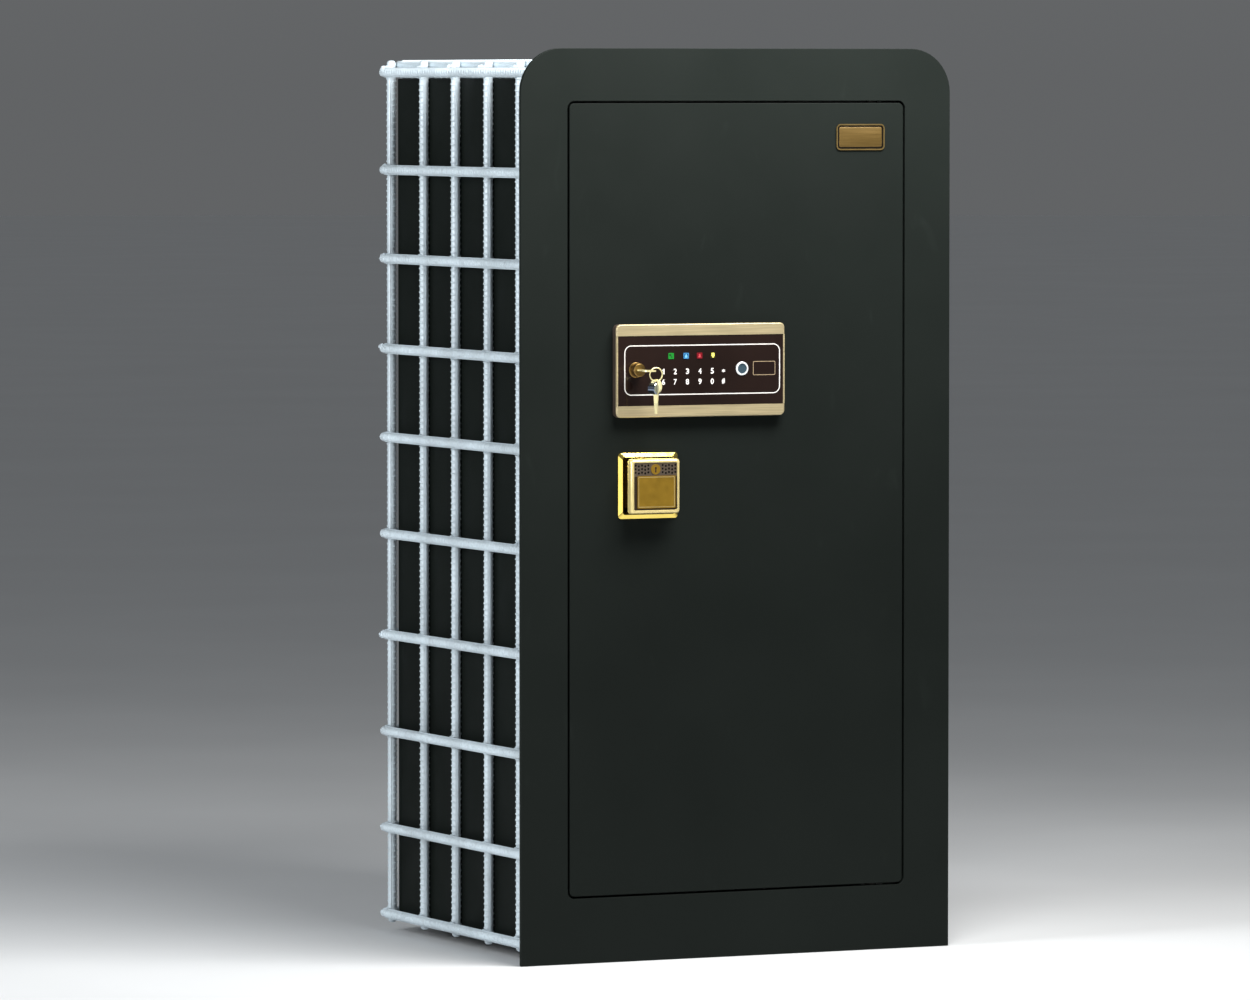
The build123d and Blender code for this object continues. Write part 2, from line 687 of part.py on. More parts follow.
def fire_seal():
    """Intumescent strips round the pan."""
    z0 = PAN_Z0 - SEAT - SEAL_T
    z1 = PAN_Z1 + SEAT
    x_left = PAN_X0 - SEAT - SEAL_T
    x_right = PAN_X1 + SEAT
    x_stop = BEARING_X0 - SEAT
    left = block(x_left, x_left + SEAL_T, SEAL_Y0, SEAL_Y1, PAN_Z0, PAN_Z1)
    right = block(x_right, x_right + SEAL_T, SEAL_Y0, SEAL_Y1, PAN_Z0, PAN_Z1)
    low = block(PAN_X0, x_stop, SEAL_Y0, SEAL_Y1, z0, z0 + SEAL_T)
    high = block(PAN_X0, x_stop, SEAL_Y0, SEAL_Y1, z1, z1 + SEAL_T)
    return [left, right, low, high]


def hinge_block(top):
    """Steel block in the pan's corner that holds a hinge pin."""
    z1 = PAN_Z1 - PAN_T - SEAT
    z0 = z1 - HINGE_BLOCK_H
    if not top:
        z0 = PAN_Z0 + PAN_T + SEAT
        z1 = z0 + HINGE_BLOCK_H
    y1 = HINGE_Y + HINGE_BLOCK_HALF
    body = block(FILL_X1 + SEAT, PAN_X1 - PAN_T - SEAT, BEHIND_PLATE, y1, z0, z1)
    return body - round_z(HINGE_PIN_R + RUN_FIT, HINGE_X, HINGE_Y, z0, z1)


def hinge_pin(top):
    """Pin from the pan's block into the frame's bearing."""
    z0 = PAN_Z1 - PAN_T - SEAT - HINGE_BLOCK_H
    z1 = OPEN_Z1 + BEARING_STEP + BEARING_H - BEARING_STEP / 2
    if not top:
        z0 = OPEN_Z0 - BEARING_STEP - BEARING_H + BEARING_STEP / 2
        z1 = PAN_Z0 + PAN_T + SEAT + HINGE_BLOCK_H
    pin = round_z(HINGE_PIN_R, HINGE_X, HINGE_Y, z0, z1)
    return chamfer(pin.edges().filter_by(GeomType.CIRCLE), EASE)


def thrust_sleeve(top):
    """Bronze sleeve round the pin, between the pan and the bearing."""
    z0 = PAN_Z1 + SEAT
    z1 = OPEN_Z1 + BEARING_STEP - FREE
    if not top:
        z0 = OPEN_Z0 - BEARING_STEP + FREE
        z1 = PAN_Z0 - SEAT
    ring = round_z(HINGE_PIN_R + THRUST_WALL, HINGE_X, HINGE_Y, z0, z1)
    return ring - round_z(HINGE_PIN_R + RUN_FIT, HINGE_X, HINGE_Y, z0, z1)


def dead_bar():
    """Fixed bar that hooks behind the frame on the hinge side."""
    half = DEAD_BAR_LEN / 2
    x0 = PAN_X1 - PAN_T - DEAD_BAR_TAIL
    bar = block(x0, DEAD_BAR_X1, DEAD_BAR_Y0, DEAD_BAR_Y1, DOOR_MID_Z - half, DOOR_MID_Z + half)
    nose = bar.edges().filter_by(Axis.Z).sort_by(Axis.X)[-2:]
    return chamfer(nose, KEEPER_T / 2)


# Bolt work in the door

def spiral_slot(start_angle):
    """Slot of even width whose middle line moves out evenly while the cam turns."""
    inner = []
    outer = []
    half = PIN_R + FREE
    rise = BOLT_THROW / radians(CAM_TURN)
    for i in range(SLOT_STEPS + 1):
        angle = radians(start_angle - CAM_TURN * i / SLOT_STEPS)
        radius = PIN_START + BOLT_THROW * i / SLOT_STEPS
        middle = (radius * cos(angle), radius * sin(angle))
        along = (rise * cos(angle) + radius * sin(angle), rise * sin(angle) - radius * cos(angle))
        step = half / sqrt(along[0] ** 2 + along[1] ** 2)
        inner.append((middle[0] + step * along[1], middle[1] - step * along[0]))
        outer.append((middle[0] - step * along[1], middle[1] + step * along[0]))
    edges = [Spline(inner), Line(inner[-1], outer[-1]), Spline(outer), Line(outer[0], inner[0])]
    slot = make_face(edges)
    for radius, turn in ((PIN_START, 0.0), (PIN_START + BOLT_THROW, CAM_TURN)):
        angle = radians(start_angle - turn)
        slot += Pos(radius * cos(angle), radius * sin(angle)) * Circle(half)
    return slot


def cam_disc():
    """Scroll cam with a spiral slot for each slide and two solenoid notches."""
    disc = Circle(CAM_R) - Circle(SPINDLE_R + SEAT)
    for start_angle in SLOT_ANGLES:
        disc -= spiral_slot(start_angle)
    for angle in (SOLENOID_ANGLE, SOLENOID_ANGLE - CAM_TURN):
        notch = Pos(CAM_R, 0) * Rectangle(2 * CAM_NOTCH_D, CAM_NOTCH_W)
        disc -= Rot(0, 0, angle) * notch
    cam = plate(Pos(KNOB_X, KNOB_Z) * disc, CAM_Y0, CAM_Y1)
    hub = Circle(CAM_HUB_R) - Circle(SPINDLE_R + SEAT)
    return cam + plate(Pos(KNOB_X, KNOB_Z) * hub, CAM_Y1 - SEAT, CAM_Y1 + SLIDE_GAP / 2)


def knob_spindle():
    shaft = round_y(SPINDLE_R, KNOB_X, KNOB_Z, -ROSE_T - KNOB_NECK_T, SLIDE_Y1)
    return chamfer(shaft.edges().filter_by(GeomType.CIRCLE), EASE)


def spindle_bush():
    """Flanged bush through the door's layers."""
    y1 = CHAMBER_Y0 + BUSH_FLANGE_T
    outer = round_y(SPINDLE_R + SPINDLE_BUSH_T, KNOB_X, KNOB_Z, 0, y1)
    outer += round_y(BUSH_FLANGE_R, KNOB_X, KNOB_Z, CHAMBER_Y0, y1)
    return outer - round_y(SPINDLE_R + RUN_FIT, KNOB_X, KNOB_Z, 0, y1)


def side_carriage():
    """Upright bar that carries the side bolts, with its link and pin to the cam."""
    z0 = SIDE_BOLT_Z[0] - CARRIAGE_END
    z1 = SIDE_BOLT_Z[-1] + CARRIAGE_END
    y0 = SLIDE_MID_Y - CARRIAGE_D / 2
    bar = block(CARRIAGE_X0, CARRIAGE_X1, y0, y0 + CARRIAGE_D, z0, z1)
    for z in SIDE_BOLT_Z:
        bar -= round_x(BOLT_SPIGOT_R + SEAT, SLIDE_MID_Y, z, CARRIAGE_X0, CARRIAGE_X1)
    x_pin = KNOB_X - PIN_START
    link = Pos((CARRIAGE_X1 + x_pin) / 2, KNOB_Z) * Rectangle(x_pin - CARRIAGE_X1, SLIDE_W)
    link += Pos(x_pin, KNOB_Z) * Circle(SLIDE_W / 2)
    link -= Pos(x_pin, KNOB_Z) * Circle(PIN_R + SEAT)
    return [bar + plate(link, SLIDE_Y0, SLIDE_Y1), cam_pin(x_pin, KNOB_Z)]


def cam_pin(x, z):
    """Pin through the end of a slide, into its slot in the cam."""
    return round_y(PIN_R, x, z, CAM_Y0 - FREE, SLIDE_Y1)


def side_bolt(z):
    """Round bolt with a chamfered nose and a spigot through the carriage."""
    x0 = PAN_X0 - BOLT_PROUD
    body = round_x(BOLT_R, SLIDE_MID_Y, z, x0, CARRIAGE_X0 - SEAT)
    body = chamfer(body.edges().filter_by(GeomType.CIRCLE).sort_by(Axis.X)[0], BOLT_NOSE)
    return body + round_x(BOLT_SPIGOT_R, SLIDE_MID_Y, z, CARRIAGE_X0 - SEAT, CARRIAGE_X1)


def end_rod(sign):
    """Flat rod with its cam pin, and the round bolt slotted over its far end."""
    z_pin = KNOB_Z + sign * PIN_START
    z_tip = PAN_Z1 + BOLT_PROUD if sign > 0 else PAN_Z0 - BOLT_PROUD
    z_root = z_tip - sign * ROD_BOLT_L
    z_join = z_root + sign * SLIDE_W / 2
    low, high = sorted((z_pin, z_join))
    flat = Pos(KNOB_X, (low + high) / 2) * Rectangle(SLIDE_W, high - low)
    flat += Pos(KNOB_X, z_pin) * Circle(SLIDE_W / 2)
    flat -= Pos(KNOB_X, z_pin) * Circle(PIN_R + SEAT)
    low, high = sorted((z_root, z_tip))
    bolt = round_z(BOLT_R, KNOB_X, SLIDE_MID_Y, low, high)
    nose = bolt.edges().filter_by(GeomType.CIRCLE).sort_by(Axis.Z)[-1 if sign > 0 else 0]
    bolt = chamfer(nose, BOLT_NOSE)
    low, high = sorted((z_root, z_join + sign * SEAT))
    bolt -= block(KNOB_X - BOLT_R, KNOB_X + BOLT_R, SLIDE_Y0 - SEAT, SLIDE_Y1 + SEAT, low, high)
    return [plate(flat, SLIDE_Y0, SLIDE_Y1), cam_pin(KNOB_X, z_pin), bolt]


def bolt_guides():
    """Guide bar for the side bolts and a block for each end bolt."""
    x0 = PAN_X0 + PAN_T + SEAT
    z0 = SIDE_BOLT_Z[0] - CARRIAGE_END
    z1 = SIDE_BOLT_Z[-1] + CARRIAGE_END
    bar = block(x0, x0 + GUIDE_T, CHAMBER_Y0, PAN_BACK - SEAT, z0, z1)
    for z in SIDE_BOLT_Z:
        bar -= round_x(BOLT_R + RUN_FIT, SLIDE_MID_Y, z, x0, x0 + GUIDE_T)
    guides = [bar]
    half = GUIDE_H / 2
    for low in (PAN_Z0 + PAN_T + SEAT, PAN_Z1 - PAN_T - SEAT - GUIDE_T):
        guide = block(KNOB_X - half, KNOB_X + half, CHAMBER_Y0, PAN_BACK - SEAT, low, low + GUIDE_T)
        guides.append(guide - round_z(BOLT_R + RUN_FIT, KNOB_X, SLIDE_MID_Y, low, low + GUIDE_T))
    return guides


def rod_straps():
    """Folded straps that hold the flat rods to the mounting plate."""
    straps = []
    inside = SLIDE_W / 2 + FREE
    for z in (KNOB_Z - STRAP_OFFSET, KNOB_Z + STRAP_OFFSET):
        z0 = z - STRAP_W / 2
        z1 = z + STRAP_W / 2
        y1 = SLIDE_Y1 + FREE + STRAP_T
        outer = block(KNOB_X - inside - STRAP_T, KNOB_X + inside + STRAP_T, CHAMBER_Y0, y1, z0, z1)
        foot = block(KNOB_X - inside - SLIDE_W / 2, KNOB_X + inside + SLIDE_W / 2,
                     CHAMBER_Y0, CHAMBER_Y0 + STRAP_T, z0, z1)
        gap = block(KNOB_X - inside, KNOB_X + inside, CHAMBER_Y0, SLIDE_Y1 + FREE, z0, z1)
        straps.append(outer + foot - gap)
    return straps


def radial(solid, distance):
    """Put a piece drawn along +X from the origin on the solenoid's line."""
    turned = Rot(0, -SOLENOID_ANGLE, 0) * (Pos(distance, 0, 0) * solid)
    return Pos(KNOB_X, (CAM_Y0 + CAM_Y1) / 2, KNOB_Z) * turned


def solenoid_body():
    """Coil frame on the mounting plate, bored for the plunger."""
    depth = (CAM_Y0 + CAM_Y1) / 2 - CHAMBER_Y0
    frame = Pos(SOLENOID_L / 2, SOLENOID_W / 2 - depth, 0) * Box(SOLENOID_L, SOLENOID_W, SOLENOID_W)
    bore = round_x(PLUNGER_R + RUN_FIT, 0, 0, 0, SOLENOID_L)
    return radial(frame - bore, CAM_R + PLUNGER_CLEAR + PLUNGER_STROKE + SLIDE_GAP)


def solenoid_plunger():
    pin = round_x(PLUNGER_R, 0, 0, 0, PLUNGER_L)
    pin = chamfer(pin.edges().filter_by(GeomType.CIRCLE), EASE)
    return radial(pin, CAM_R + PLUNGER_CLEAR)


# Knob on the front

def bevelled_slab(side, face_side, y_back, y_face, radius):
    """Square slab that narrows from its back to its face."""
    back = Plane.XZ.offset(-y_back) * Pos(KNOB_X, KNOB_Z) * RectangleRounded(side, side, radius)
    face = Plane.XZ.offset(-y_face) * Pos(KNOB_X, KNOB_Z) * RectangleRounded(face_side, face_side, radius)
    return loft([back, face])


def knob_rose():
    """Square base plate on the door."""
    rose = bevelled_slab(ROSE_W, ROSE_W, -SEAT, -ROSE_EDGE, ROSE_CORNER_R)
    rose += bevelled_slab(ROSE_W, ROSE_W - 2 * ROSE_SLOPE, -ROSE_EDGE, -ROSE_T, ROSE_CORNER_R)
    return rose - round_y(SPINDLE_R + FREE, KNOB_X, KNOB_Z, -ROSE_T, 0)


def knob_block():
    """Neck, straight skirt and tapered head on the spindle, with a pocket for the insert."""
    neck_face = -ROSE_T - KNOB_NECK_T
    skirt_face = neck_face - KNOB_SKIRT_T
    neck = bevelled_slab(KNOB_NECK_W, KNOB_NECK_W, -ROSE_T - FREE, neck_face, KNOB_CORNER_R)
    skirt = bevelled_slab(KNOB_BLOCK_W, KNOB_BLOCK_W, neck_face, skirt_face, KNOB_CORNER_R)
    head = bevelled_slab(KNOB_BLOCK_W, KNOB_FACE_W, skirt_face, -KNOB_STAND, KNOB_CORNER_R)
    pocket = plate(knob_square(KNOB_POCKET_W), -KNOB_STAND, -KNOB_STAND + KNOB_POCKET_D)
    bore = round_y(SPINDLE_R + SEAT, KNOB_X, KNOB_Z, neck_face - SEAT, 0)
    return neck + skirt + head - pocket - bore


def knob_square(side):
    return Pos(KNOB_X, KNOB_Z) * RectangleRounded(side, side, KNOB_CORNER_R / 2)


def knob_insert():
    """Pocket plate with a honeycomb strip and a raised blank field."""
    side = KNOB_POCKET_W - 2 * SEAT
    y1 = -KNOB_STAND + KNOB_POCKET_D - SEAT
    y0 = y1 - INSERT_T
    body = plate(knob_square(side), y0, y1)
    z_top = KNOB_Z + side / 2
    field_top = z_top - HONEY_STRIP_H
    field = panel(KNOB_X - side / 2 + PLATE_INSET, KNOB_X + side / 2 - PLATE_INSET / 2,
                  KNOB_Z - side / 2 + PLATE_INSET / 2, field_top, SMALL_R)
    body += plate(field, y0 - PLATE_STEP, y0)
    z_strip = z_top - HONEY_STRIP_H / 2
    body += round_y(DISC_R, KNOB_X, z_strip, y0 - PLATE_STEP, y0)
    return body - honeycomb(side, z_strip, y0)


def honeycomb(side, z_strip, y_face):
    """Hexagonal pockets in three staggered rows, left and right of the disc."""
    cells = []
    columns = int((side / 2 - DISC_R - HONEY_START - HONEY_CELL_R) / HONEY_PITCH) + 1
    for sign in (-1, 1):
        for column in range(columns):
            x = KNOB_X + sign * (DISC_R + HONEY_START + HONEY_PITCH * column)
            shift = HONEY_PITCH / 2 if column % 2 else 0.0
            for row in (-1, 0, 1):
                z = z_strip + row * HONEY_PITCH - shift / 2 + HONEY_RISE
                cells.append(Pos(x, z) * RegularPolygon(HONEY_CELL_R, 6))
    return [plate(cell, y_face, y_face + INSERT_T / 2) for cell in cells]


# Keypad panel

def keypad_base():
    outline = panel(PANEL_X0, PANEL_X0 + PANEL_W, PANEL_Z0, PANEL_Z0 + PANEL_H, PANEL_CORNER_R)
    outline -= Pos(LOCK_X, LOCK_Z) * Circle(BARREL_R + SEAT)
    return plate(outline, -PANEL_BASE_T, -SEAT)


def keypad_bands():
    """Bands along the top and the bottom edge, bevelled in front."""
    back = -PANEL_BASE_T - SEAT
    outline = panel(PANEL_X0, PANEL_X0 + PANEL_W, PANEL_Z0, PANEL_Z0 + PANEL_H, PANEL_CORNER_R)
    full = plate(outline, back - BAND_T, back)
    full = chamfer(full.faces().sort_by(Axis.Y)[0].outer_wire().edges(), BAND_BEVEL)
    middle = block(PANEL_X0, PANEL_X0 + PANEL_W, back - BAND_T, back, WINDOW_Z0, WINDOW_Z1)
    return (full - middle).solids()


def keypad_side_rims():
    y1 = -PANEL_BASE_T - SEAT
    z0 = WINDOW_Z0 + SEAT
    z1 = WINDOW_Z1 - SEAT
    left = PANEL_X0
    right = PANEL_X0 + PANEL_W - SIDE_RIM_W
    return [block(x, x + SIDE_RIM_W, y1 - SIDE_RIM_T, y1, z0, z1) for x in (left, right)]


def keypad_window():
    x0 = PANEL_X0 + SIDE_RIM_W + SEAT
    x1 = PANEL_X0 + PANEL_W - SIDE_RIM_W - SEAT
    outline = panel(x0, x1, WINDOW_Z0 + SEAT, WINDOW_Z1 - SEAT, SMALL_R)
    outline -= Pos(LOCK_X, LOCK_Z) * Circle(BARREL_R + SEAT)
    return plate(outline, -WINDOW_FACE, -PANEL_BASE_T - SEAT)


def indicator_lenses():
    y1 = -WINDOW_FACE - SEAT
    half = LENS_W / 2
    lenses = []
    for x in LENS_X:
        outline = panel(x - half, x + half, LENS_Z - half, LENS_Z + half, SMALL_R)
        lenses.append(plate(outline, y1 - LENS_T, y1))
    return lenses


def sensor_ring():
    y1 = -WINDOW_FACE - SEAT
    ring = round_y(SENSOR_R, SENSOR_X, SENSOR_Z, y1 - SENSOR_T, y1)
    ring = chamfer(ring.edges().filter_by(GeomType.CIRCLE).sort_by(Axis.Y)[0], EASE)
    return ring - round_y(SENSOR_R - SENSOR_RIM, SENSOR_X, SENSOR_Z, y1 - SENSOR_T, y1)


def sensor_lens():
    y1 = -WINDOW_FACE - SEAT
    radius = SENSOR_R - SENSOR_RIM - SEAT
    return round_y(radius, SENSOR_X, SENSOR_Z, y1 - SENSOR_LENS_T, y1)


def badge_plate():
    """Blank plate with a raised rim."""
    x1 = BADGE_X0 + BADGE_W
    z1 = BADGE_Z0 + BADGE_H
    field = panel(BADGE_X0 + BADGE_RIM, x1 - BADGE_RIM, BADGE_Z0 + BADGE_RIM, z1 - BADGE_RIM,
                  BADGE_CORNER_R - BADGE_RIM)
    body = plate(panel(BADGE_X0, x1, BADGE_Z0, z1, BADGE_CORNER_R), -SEAT - BADGE_T, -SEAT)
    return body - plate(field, -SEAT - BADGE_T, -SEAT - BADGE_T + BADGE_RECESS)


# Key lock, key, ring and spare key

def lock_escutcheon():
    y1 = -WINDOW_FACE - SEAT
    ring = round_y(ESCUTCHEON_R, LOCK_X, LOCK_Z, y1 - ESCUTCHEON_T, y1)
    ring = chamfer(ring.edges().filter_by(GeomType.CIRCLE).sort_by(Axis.Y)[0], EASE)
    return ring - round_y(BARREL_R + SEAT, LOCK_X, LOCK_Z, y1 - ESCUTCHEON_T, y1)


def lock_barrel():
    y1 = CHAMBER_Y0 - SEAT
    barrel = round_y(BARREL_R, LOCK_X, LOCK_Z, -BARREL_STAND, y1)
    barrel = chamfer(barrel.edges().filter_by(GeomType.CIRCLE).sort_by(Axis.Y)[0], EASE)
    return barrel - round_y(PLUG_R + RUN_FIT, LOCK_X, LOCK_Z, -BARREL_STAND, y1)


def lock_plug():
    """Plug with a keyway; its tail drives the lock cam."""
    plug = round_y(PLUG_R, LOCK_X, LOCK_Z, -BARREL_STAND, PLUG_BACK - LOCK_CAM_T - SEAT)
    half_w = BLADE_W / 2 + KEY_FREE
    half_t = BLADE_T / 2 + KEY_FREE
    y1 = -BARREL_STAND + KEYWAY_DEPTH + KEY_FREE
    plug -= block(LOCK_X - half_w, LOCK_X + half_w, -BARREL_STAND, y1, LOCK_Z - half_t, LOCK_Z + half_t)
    return plug + round_y(PLUG_R / 2, LOCK_X, LOCK_Z, PLUG_BACK - LOCK_CAM_T - 2 * SEAT, PLUG_BACK)


def lock_cam():
    """Short arm on the plug's tail."""
    arm = Pos(LOCK_X + LOCK_CAM_L / 2, LOCK_Z) * SlotCenterToCenter(LOCK_CAM_L, LOCK_CAM_W)
    arm -= Pos(LOCK_X, LOCK_Z) * Circle(PLUG_R / 2 + KEY_FREE)
    return plate(arm, PLUG_BACK - LOCK_CAM_T, PLUG_BACK)


def key():
    """Flat key in the plug, its bow level and pierced near the tip."""
    flat = Pos(LOCK_X, -BARREL_STAND) * Rectangle(BLADE_W, KEYWAY_DEPTH, align=(Align.CENTER, Align.MIN))
    bow_y = BOW_R - KEY_TIP
    neck_l = -BARREL_STAND - bow_y
    flat += Pos(LOCK_X, bow_y) * Rectangle(NECK_W, neck_l, align=(Align.CENTER, Align.MIN))
    flat += Pos(LOCK_X, bow_y) * Circle(BOW_R)
    flat -= Pos(LOCK_X, BOW_HOLE_Y) * Circle(BOW_HOLE_R)
    return extrude(Plane.XY.offset(LOCK_Z - BLADE_T / 2) * flat, amount=BLADE_T)


def key_ring():
    ring = Torus(RING_R, RING_WIRE_R)
    return Pos(RING_X, BOW_HOLE_Y, RING_Z) * Rot(90, 0, 0) * ring


def hang(solid):
    """Turn a piece drawn in X and Z, and hang it from the ring."""
    return Pos(RING_X, BOW_HOLE_Y, SPARE_HOLE_Z) * Rot(0, 0, SPARE_TURN) * solid


def spare_key():
    """Second key with a round bow and a tapered blade."""
    bow_z = SPARE_HOLE_R + SPARE_HOLE_RIM - SPARE_BOW_R
    root = bow_z - SPARE_BOW_R + SPARE_T
    tip = root - SPARE_BLADE_L
    blade = Polygon((-SPARE_BLADE_W / 2, root), (-SPARE_TIP_W / 2, tip), (SPARE_TIP_W / 2, tip),
                    (SPARE_BLADE_W / 2, root), align=None)
    outline = Pos(0, bow_z) * Circle(SPARE_BOW_R) + blade - Circle(SPARE_HOLE_R)
    return hang(plate(outline, -SPARE_T / 2, SPARE_T / 2))


def spare_key_cap():
    """Two halves of a round cap, one on each face of the bow."""
    bow_z = SPARE_HOLE_R + SPARE_HOLE_RIM - SPARE_BOW_R
    cap_z = bow_z - CAP_DROP
    cap = round_x(CAP_R, 0, cap_z, -CAP_L / 2 - CAP_SHIFT, CAP_L / 2 - CAP_SHIFT)
    cap = chamfer(cap.edges().filter_by(GeomType.CIRCLE), EASE)
    half = SPARE_T / 2 + KEY_FREE
    slit = block(-CAP_L, CAP_L, -half, half, cap_z - CAP_R, cap_z + CAP_R)
    return hang(cap - slit)


# Battery box and circuit board in the bolt chamber

def battery_box():
    x1 = BATTERY_X0 + BATTERY_W
    z1 = BATTERY_Z0 + BATTERY_H
    y1 = CHAMBER_Y0 + BATTERY_T
    case = block(BATTERY_X0, x1, CHAMBER_Y0, y1, BATTERY_Z0, z1)
    wall = BATTERY_LID_T
    return case - block(BATTERY_X0 + wall, x1 - wall, CHAMBER_Y0 + wall, y1, BATTERY_Z0 + wall, z1 - wall)


def battery_cells():
    """Four round cells side by side."""
    inside = BATTERY_H - 2 * BATTERY_LID_T
    pitch = inside / 4
    radius = pitch / 2 - SEAT
    y = CHAMBER_Y0 + BATTERY_LID_T + radius + SEAT
    x0 = BATTERY_X0 + BATTERY_LID_T + SEAT
    x1 = BATTERY_X0 + BATTERY_W - BATTERY_LID_T - SEAT
    z0 = BATTERY_Z0 + BATTERY_LID_T + pitch / 2
    return [round_x(radius, y, z0 + pitch * i, x0, x1) for i in range(4)]


def board_posts():
    posts = []
    for x in (BOARD_X0 + STANDOFF_INSET, BOARD_X0 + BOARD_W - STANDOFF_INSET):
        for z in (BOARD_Z0 + STANDOFF_INSET, BOARD_Z0 + BOARD_H - STANDOFF_INSET):
            posts.append(round_y(STANDOFF_R, x, z, CHAMBER_Y0, CHAMBER_Y0 + STANDOFF_H))
    return posts


def circuit_board():
    y0 = CHAMBER_Y0 + STANDOFF_H + SEAT
    return block(BOARD_X0, BOARD_X0 + BOARD_W, y0, y0 + BOARD_T, BOARD_Z0, BOARD_Z0 + BOARD_H)


def build():
    os.makedirs("parts", exist_ok=True)
    save("front_frame", front_frame())
    save("bolt_keepers", side_keeper(), end_keeper(True), end_keeper(False), hinge_keeper())
    save("hinge_bearings", hinge_bearing(True), hinge_bearing(False))
    save("shell_left", shell_side(-1))
    save("shell_right", shell_side(1))
    save("shell_top", shell_level(SHELL_Z1 - SHELL_T))
    save("shell_floor", shell_floor())
    save("shell_back", shell_back())
    save("inner_liner", *inner_liner())
    save("fire_fill", *fire_fill())
    save("stop_flange", *stop_flange())
    save("anchor_sleeves", *anchor_sleeves())
    save("base_skids", base_skid(-SKID_X), base_skid(SKID_X))
    save("shelves", *[shelf(z) for z in SHELF_HEIGHTS])
    save("shelf_clips", *shelf_clips())
    save("left_uprights", *side_uprights(-1))
    save("right_uprights", *side_uprights(1))
    save("left_crossbars", *side_crossbars(-1))
    save("right_crossbars", *side_crossbars(1))
    save("rear_uprights", *rear_uprights())
    save("rear_crossbars", *rear_crossbars())
    save("top_bars", *top_crossbars(), *top_depth_bars())
    save("door_plate", door_plate())
    save("door_fill", door_fill())
    save("door_pan", *door_pan())
    save("mounting_plate", mounting_plate())
    save("door_cover", door_cover())
    save("fire_seal", *fire_seal())
    save("hinge_blocks", hinge_block(True), hinge_block(False))
    save("hinge_pins", *[piece(top) for piece in (hinge_pin, thrust_sleeve) for top in (True, False)])
    save("dead_bar", dead_bar())
    save("spindle_bush", spindle_bush())
    save("bolt_guides", *bolt_guides(), *rod_straps())
    save("solenoid_body", solenoid_body())
    save("solenoid_plunger", solenoid_plunger())
    save("battery_box", battery_box(), *battery_cells())
    save("circuit_board", circuit_board(), *board_posts())
    save("knob_rose", knob_rose())
    save("keypad_base", keypad_base())
    save("keypad_trims", *keypad_bands(), *keypad_side_rims())
    save("keypad_window", keypad_window())
    save("indicator_lenses", *indicator_lenses())
    save("sensor_ring", sensor_ring())
    save("sensor_lens", sensor_lens())
    save("badge_plate", badge_plate())
    save("lock_barrel", lock_barrel(), lock_escutcheon())
    save("knob_block", knob_block())
    save("knob_insert", knob_insert())
    save("knob_spindle", knob_spindle())
    save("cam_disc", cam_disc())
    save("side_carriage", *side_carriage())
    save("side_bolts", *[side_bolt(z) for z in SIDE_BOLT_Z])
    save("top_rod", *end_rod(1))
    save("bottom_rod", *end_rod(-1))
    save("lock_plug", lock_plug(), lock_cam())
    save("key", key())
    save("key_ring", key_ring())
    save("spare_key", spare_key())
    save("spare_key_cap", spare_key_cap())


build()
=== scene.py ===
"""Dresses the fireproof safe.

Puts finishes on its pieces, ribs and welds on its cage and print on its keypad, and sets its stage.
"""

import json
import math
import random

import bmesh
import bpy
from bpy.props import FloatProperty, FloatVectorProperty, PointerProperty
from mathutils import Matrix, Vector


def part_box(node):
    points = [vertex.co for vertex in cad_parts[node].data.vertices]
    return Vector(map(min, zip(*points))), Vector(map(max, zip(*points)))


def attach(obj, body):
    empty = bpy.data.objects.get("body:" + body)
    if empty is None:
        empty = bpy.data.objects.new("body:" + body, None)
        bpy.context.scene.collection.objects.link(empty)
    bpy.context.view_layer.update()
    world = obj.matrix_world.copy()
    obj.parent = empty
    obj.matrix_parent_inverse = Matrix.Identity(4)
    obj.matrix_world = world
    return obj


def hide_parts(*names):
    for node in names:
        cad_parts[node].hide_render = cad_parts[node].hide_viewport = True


bl_info = {
    "name": "Fireproof Safe Dresser",
    "version": (1, 0, 0),
    "blender": (4, 5, 0),
    "location": "3D View > Sidebar > Safe",
    "description": "Paints the safe's pieces, ribs and welds its cage, prints its keypad and sets its stage",
    "category": "Object",
}

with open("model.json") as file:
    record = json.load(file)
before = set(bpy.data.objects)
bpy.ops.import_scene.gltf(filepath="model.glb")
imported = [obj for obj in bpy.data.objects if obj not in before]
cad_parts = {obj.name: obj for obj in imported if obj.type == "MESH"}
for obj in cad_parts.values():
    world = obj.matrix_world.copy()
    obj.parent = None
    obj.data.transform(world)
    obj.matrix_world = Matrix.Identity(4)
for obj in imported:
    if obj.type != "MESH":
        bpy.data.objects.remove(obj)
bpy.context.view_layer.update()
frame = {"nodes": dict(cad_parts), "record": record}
NODES = frame["nodes"]
SLOTS = {part["node"]: part["material_slot"] for part in frame["record"]["subparts"]}
MM = 0.001
FACE_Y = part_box("front_frame")[0].y


# Sizes and colours that a user would change


def length(name, description, millimetres):
    """Length property shown in the scene's units."""
    return FloatProperty(name=name, description=description, default=millimetres * MM, unit="LENGTH")


def power(name, description, watts):
    """Power of a lamp."""
    return FloatProperty(name=name, description=description, default=watts, unit="POWER")


def colour(name, description, value):
    """Colour with a swatch."""
    return FloatVectorProperty(name=name, description=description, default=value, subtype="COLOR", size=3)


